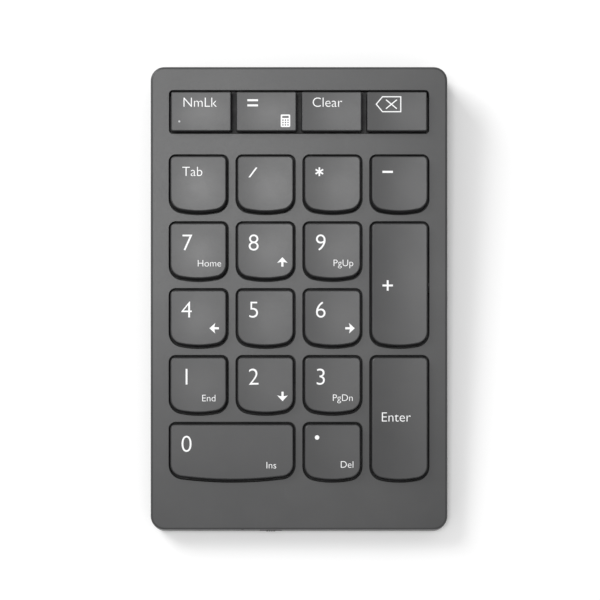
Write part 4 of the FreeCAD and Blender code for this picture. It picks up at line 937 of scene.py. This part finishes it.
class KEYPAD_OT_domes(bpy.types.Operator):
    """Mould a rubber dome under each key"""

    bl_idname = "keypad.domes"
    bl_label = "Rubber domes"

    def execute(self, context):
        places = [DECK.local(vertex.co) for vertex in NODES["rubber_domes"].data.vertices]
        crown, foot = max(place[2] for place in places), min(place[2] for place in places)
        outline = (
            (0, crown),
            (1.1, crown),
            (1.42, crown - 0.06),
            (1.5, crown - 0.22),
            (1.62, crown - 1.1),
            (1.95, foot + 0.75),
            (2.1, foot + 0.46),
            (2.3, foot + 0.33),
            (2.52, foot + 0.28),
            (2.6, foot + 0.2),
            (2.6, foot),
            (1.85, foot),
            (1.7, foot + 0.55),
            (1.3, crown - 1.6),
            (1.12, crown - 1.15),
            (0.6, crown - 1.1),
            (0.6, crown - 1.78),
            (0.5, crown - 1.9),
            (0, crown - 1.9),
        )
        finish = rubber("dome_silicone", context.scene.keypad_paint.dome, 0.4, see_through=0.3)
        for key in KEYS:
            centre = DECK.local(middle_of(key.replace("key_", "levers_")))
            middle = nearest_dome(places, centre)
            piece = turned_solid(
                key.replace("key_", "dome_"), outline, context.scene.keypad_print.dome_steps, middle
            )
            piece.data.materials.append(finish)
            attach(piece, "base")
            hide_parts("rubber_domes")
            anchor = DECK.world(*middle, foot)
            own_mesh(piece)
        return {"FINISHED"}


def nearest_dome(places, centre):
    """The middle of the dome whose vertices lie round that place."""
    near = [place for place in places if math.dist(place[:2], centre[:2]) < DOME_NEAR]
    across, along = [place[0] for place in near], [place[1] for place in near]
    return (min(across) + max(across)) / 2, (min(along) + max(along)) / 2


class KEYPAD_OT_insides(bpy.types.Operator):
    """Finish the plate, membrane, board, battery and lead"""

    bl_idname = "keypad.insides"
    bl_label = "Plate, membrane and electronics"

    def execute(self, context):
        paint = context.scene.keypad_paint
        dress(plastic("plate_coating", paint.plate, 0.0002, 0.00001, 0.45, 0.6, wear=0.4), "support_plate")
        dress(printed_film(paint), "membrane_circuit")
        dress(board_resist(paint), "main_board")
        chip = plastic("chip_plastic", paint.chip, 0.00008, 0.000006, 0.45, 0.6, wear=0.6, dust=0.4)
        dress(chip, "board_chips")
        dress(crinkled_pouch(paint), "battery_cell")
        dress(plastic("lead_sleeve", paint.sleeve, 0.0001, 0.000005, 0.38, 0.48, wear=0.3), "battery_lead")
        return {"FINISHED"}


class KEYPAD_OT_controls(bpy.types.Operator):
    """Finish the slide switch, the status light and the charging socket"""

    bl_idname = "keypad.controls"
    bl_label = "Switch, light and socket"

    def execute(self, context):
        paint = context.scene.keypad_paint
        finish = plastic("switch_plastic", paint.switch, 0.0001, 0.000006, 0.36, 0.48, wear=0.8)
        dress(finish, "slide_switch", "switch_knob")
        dress(smoked_lens("lamp_lens", paint.lamp, 0.16), "status_light")
        dress(metal("socket_steel", paint.socket, 0.2), "usb_c_receptacle")
        return {"FINISHED"}


class KEYPAD_OT_stage(bpy.types.Operator):
    """Lay the floor, hang the lights and set the camera"""

    bl_idname = "keypad.stage"
    bl_label = "Stage"

    def execute(self, context):
        studio = context.scene.keypad_studio
        lay_floor(studio, context.scene.keypad_paint)
        hang_light("key_light", studio.key_power, *KEY_LIGHT)
        hang_light("rim_light", studio.rim_power, *RIM_LIGHT)
        light_sky(context.scene, studio.sky)
        set_camera(context.scene, studio)
        return {"FINISHED"}


def lay_floor(studio, paint):
    """A wide pale floor with a faint unevenness."""
    shape = bmesh.new()
    bmesh.ops.create_grid(shape, x_segments=8, y_segments=8, size=studio.floor_wide / 2)
    floor = finished("floor", shape)
    material, tree, shader, where = new_material("pale_floor")
    cloud = tree.remap(tree.noise(where, 3.0, 3.0), 0.3, 0.7)
    tree.feed(shader, Base_Color=tree.mix(cloud, scaled(paint.floor, 0.985), paint.floor))
    tree.feed(shader, Roughness=tree.remap(cloud, 0.0, 1.0, 0.7, 0.8))
    floor.data.materials.append(material)
    floor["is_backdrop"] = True


def hang_light(name, power, side, place):
    """A square soft light that faces the deck from a place across, along and above it."""
    light = bpy.data.lights.new(name, "AREA")
    light.energy, light.size = power, side
    holder = bpy.data.objects.new(name, light)
    holder.location = DECK.world(*place)
    holder.rotation_mode = "QUATERNION"
    holder.rotation_quaternion = (DECK.origin - holder.location).to_track_quat("-Z", "Y")
    bpy.context.scene.collection.objects.link(holder)


def light_sky(scene, strength):
    """An even pale surrounding, shown with plain contrast."""
    scene.view_settings.view_transform = "Standard"
    world = bpy.data.worlds.new("pale_room")
    world.use_nodes = True
    sky = world.node_tree.nodes["Background"]
    sky.inputs["Color"].default_value = (1, 1, 1, 1)
    sky.inputs["Strength"].default_value = strength
    scene.world = world


def set_camera(scene, studio):
    """A camera that looks square onto the deck."""
    lens = bpy.data.cameras.new("camera")
    lens.sensor_width = 36
    lens.lens = lens.sensor_width * studio.camera_away / studio.view_wide
    camera = bpy.data.objects.new("camera", lens)
    camera.location = DECK.world(studio.aim_across / MM, studio.aim_along / MM, studio.camera_away / MM)
    camera.rotation_euler = (DECK.tilt, 0, 0)
    scene.collection.objects.link(camera)
    scene.camera = camera


STEPS = (
    KEYPAD_OT_covers,
    KEYPAD_OT_keycaps,
    KEYPAD_OT_legends,
    KEYPAD_OT_lock_light,
    KEYPAD_OT_levers,
    KEYPAD_OT_domes,
    KEYPAD_OT_insides,
    KEYPAD_OT_controls,
    KEYPAD_OT_stage,
)
SETTINGS = {
    "keypad_paint": KeypadPaint,
    "keypad_print": KeypadPrint,
    "keypad_wear": KeypadWear,
    "keypad_studio": KeypadStudio,
}


class KEYPAD_PT_build(bpy.types.Panel):
    """Build steps and settings of the keypad"""

    bl_idname = "KEYPAD_PT_build"
    bl_label = "Numeric keypad"
    bl_space_type = "VIEW_3D"
    bl_region_type = "UI"
    bl_category = "Keypad"

    def draw(self, context):
        for step in STEPS:
            self.layout.operator(step.bl_idname)
        for name, kind in SETTINGS.items():
            box = self.layout.box()
            for setting in kind.__annotations__:
                box.prop(getattr(context.scene, name), setting)


def register():
    """Add the settings, the operators and the panel."""
    for name, kind in SETTINGS.items():
        bpy.utils.register_class(kind)
        setattr(bpy.types.Scene, name, PointerProperty(type=kind))
    for step in (*STEPS, KEYPAD_PT_build):
        bpy.utils.register_class(step)


def unregister():
    """Take them away again."""
    for step in (KEYPAD_PT_build, *reversed(STEPS)):
        bpy.utils.unregister_class(step)
    for name, kind in reversed(SETTINGS.items()):
        delattr(bpy.types.Scene, name)
        bpy.utils.unregister_class(kind)


def main():
    """Build every piece."""
    register()
    for step in STEPS:
        group, name = step.bl_idname.split(".")
        getattr(getattr(bpy.ops, group), name)()
    boxes = {"cad": CAD_BOX, "visual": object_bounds()}
    boxes = {name: [list(corner) for corner in box] for name, box in boxes.items()}


if __name__ == "__main__":
    main()
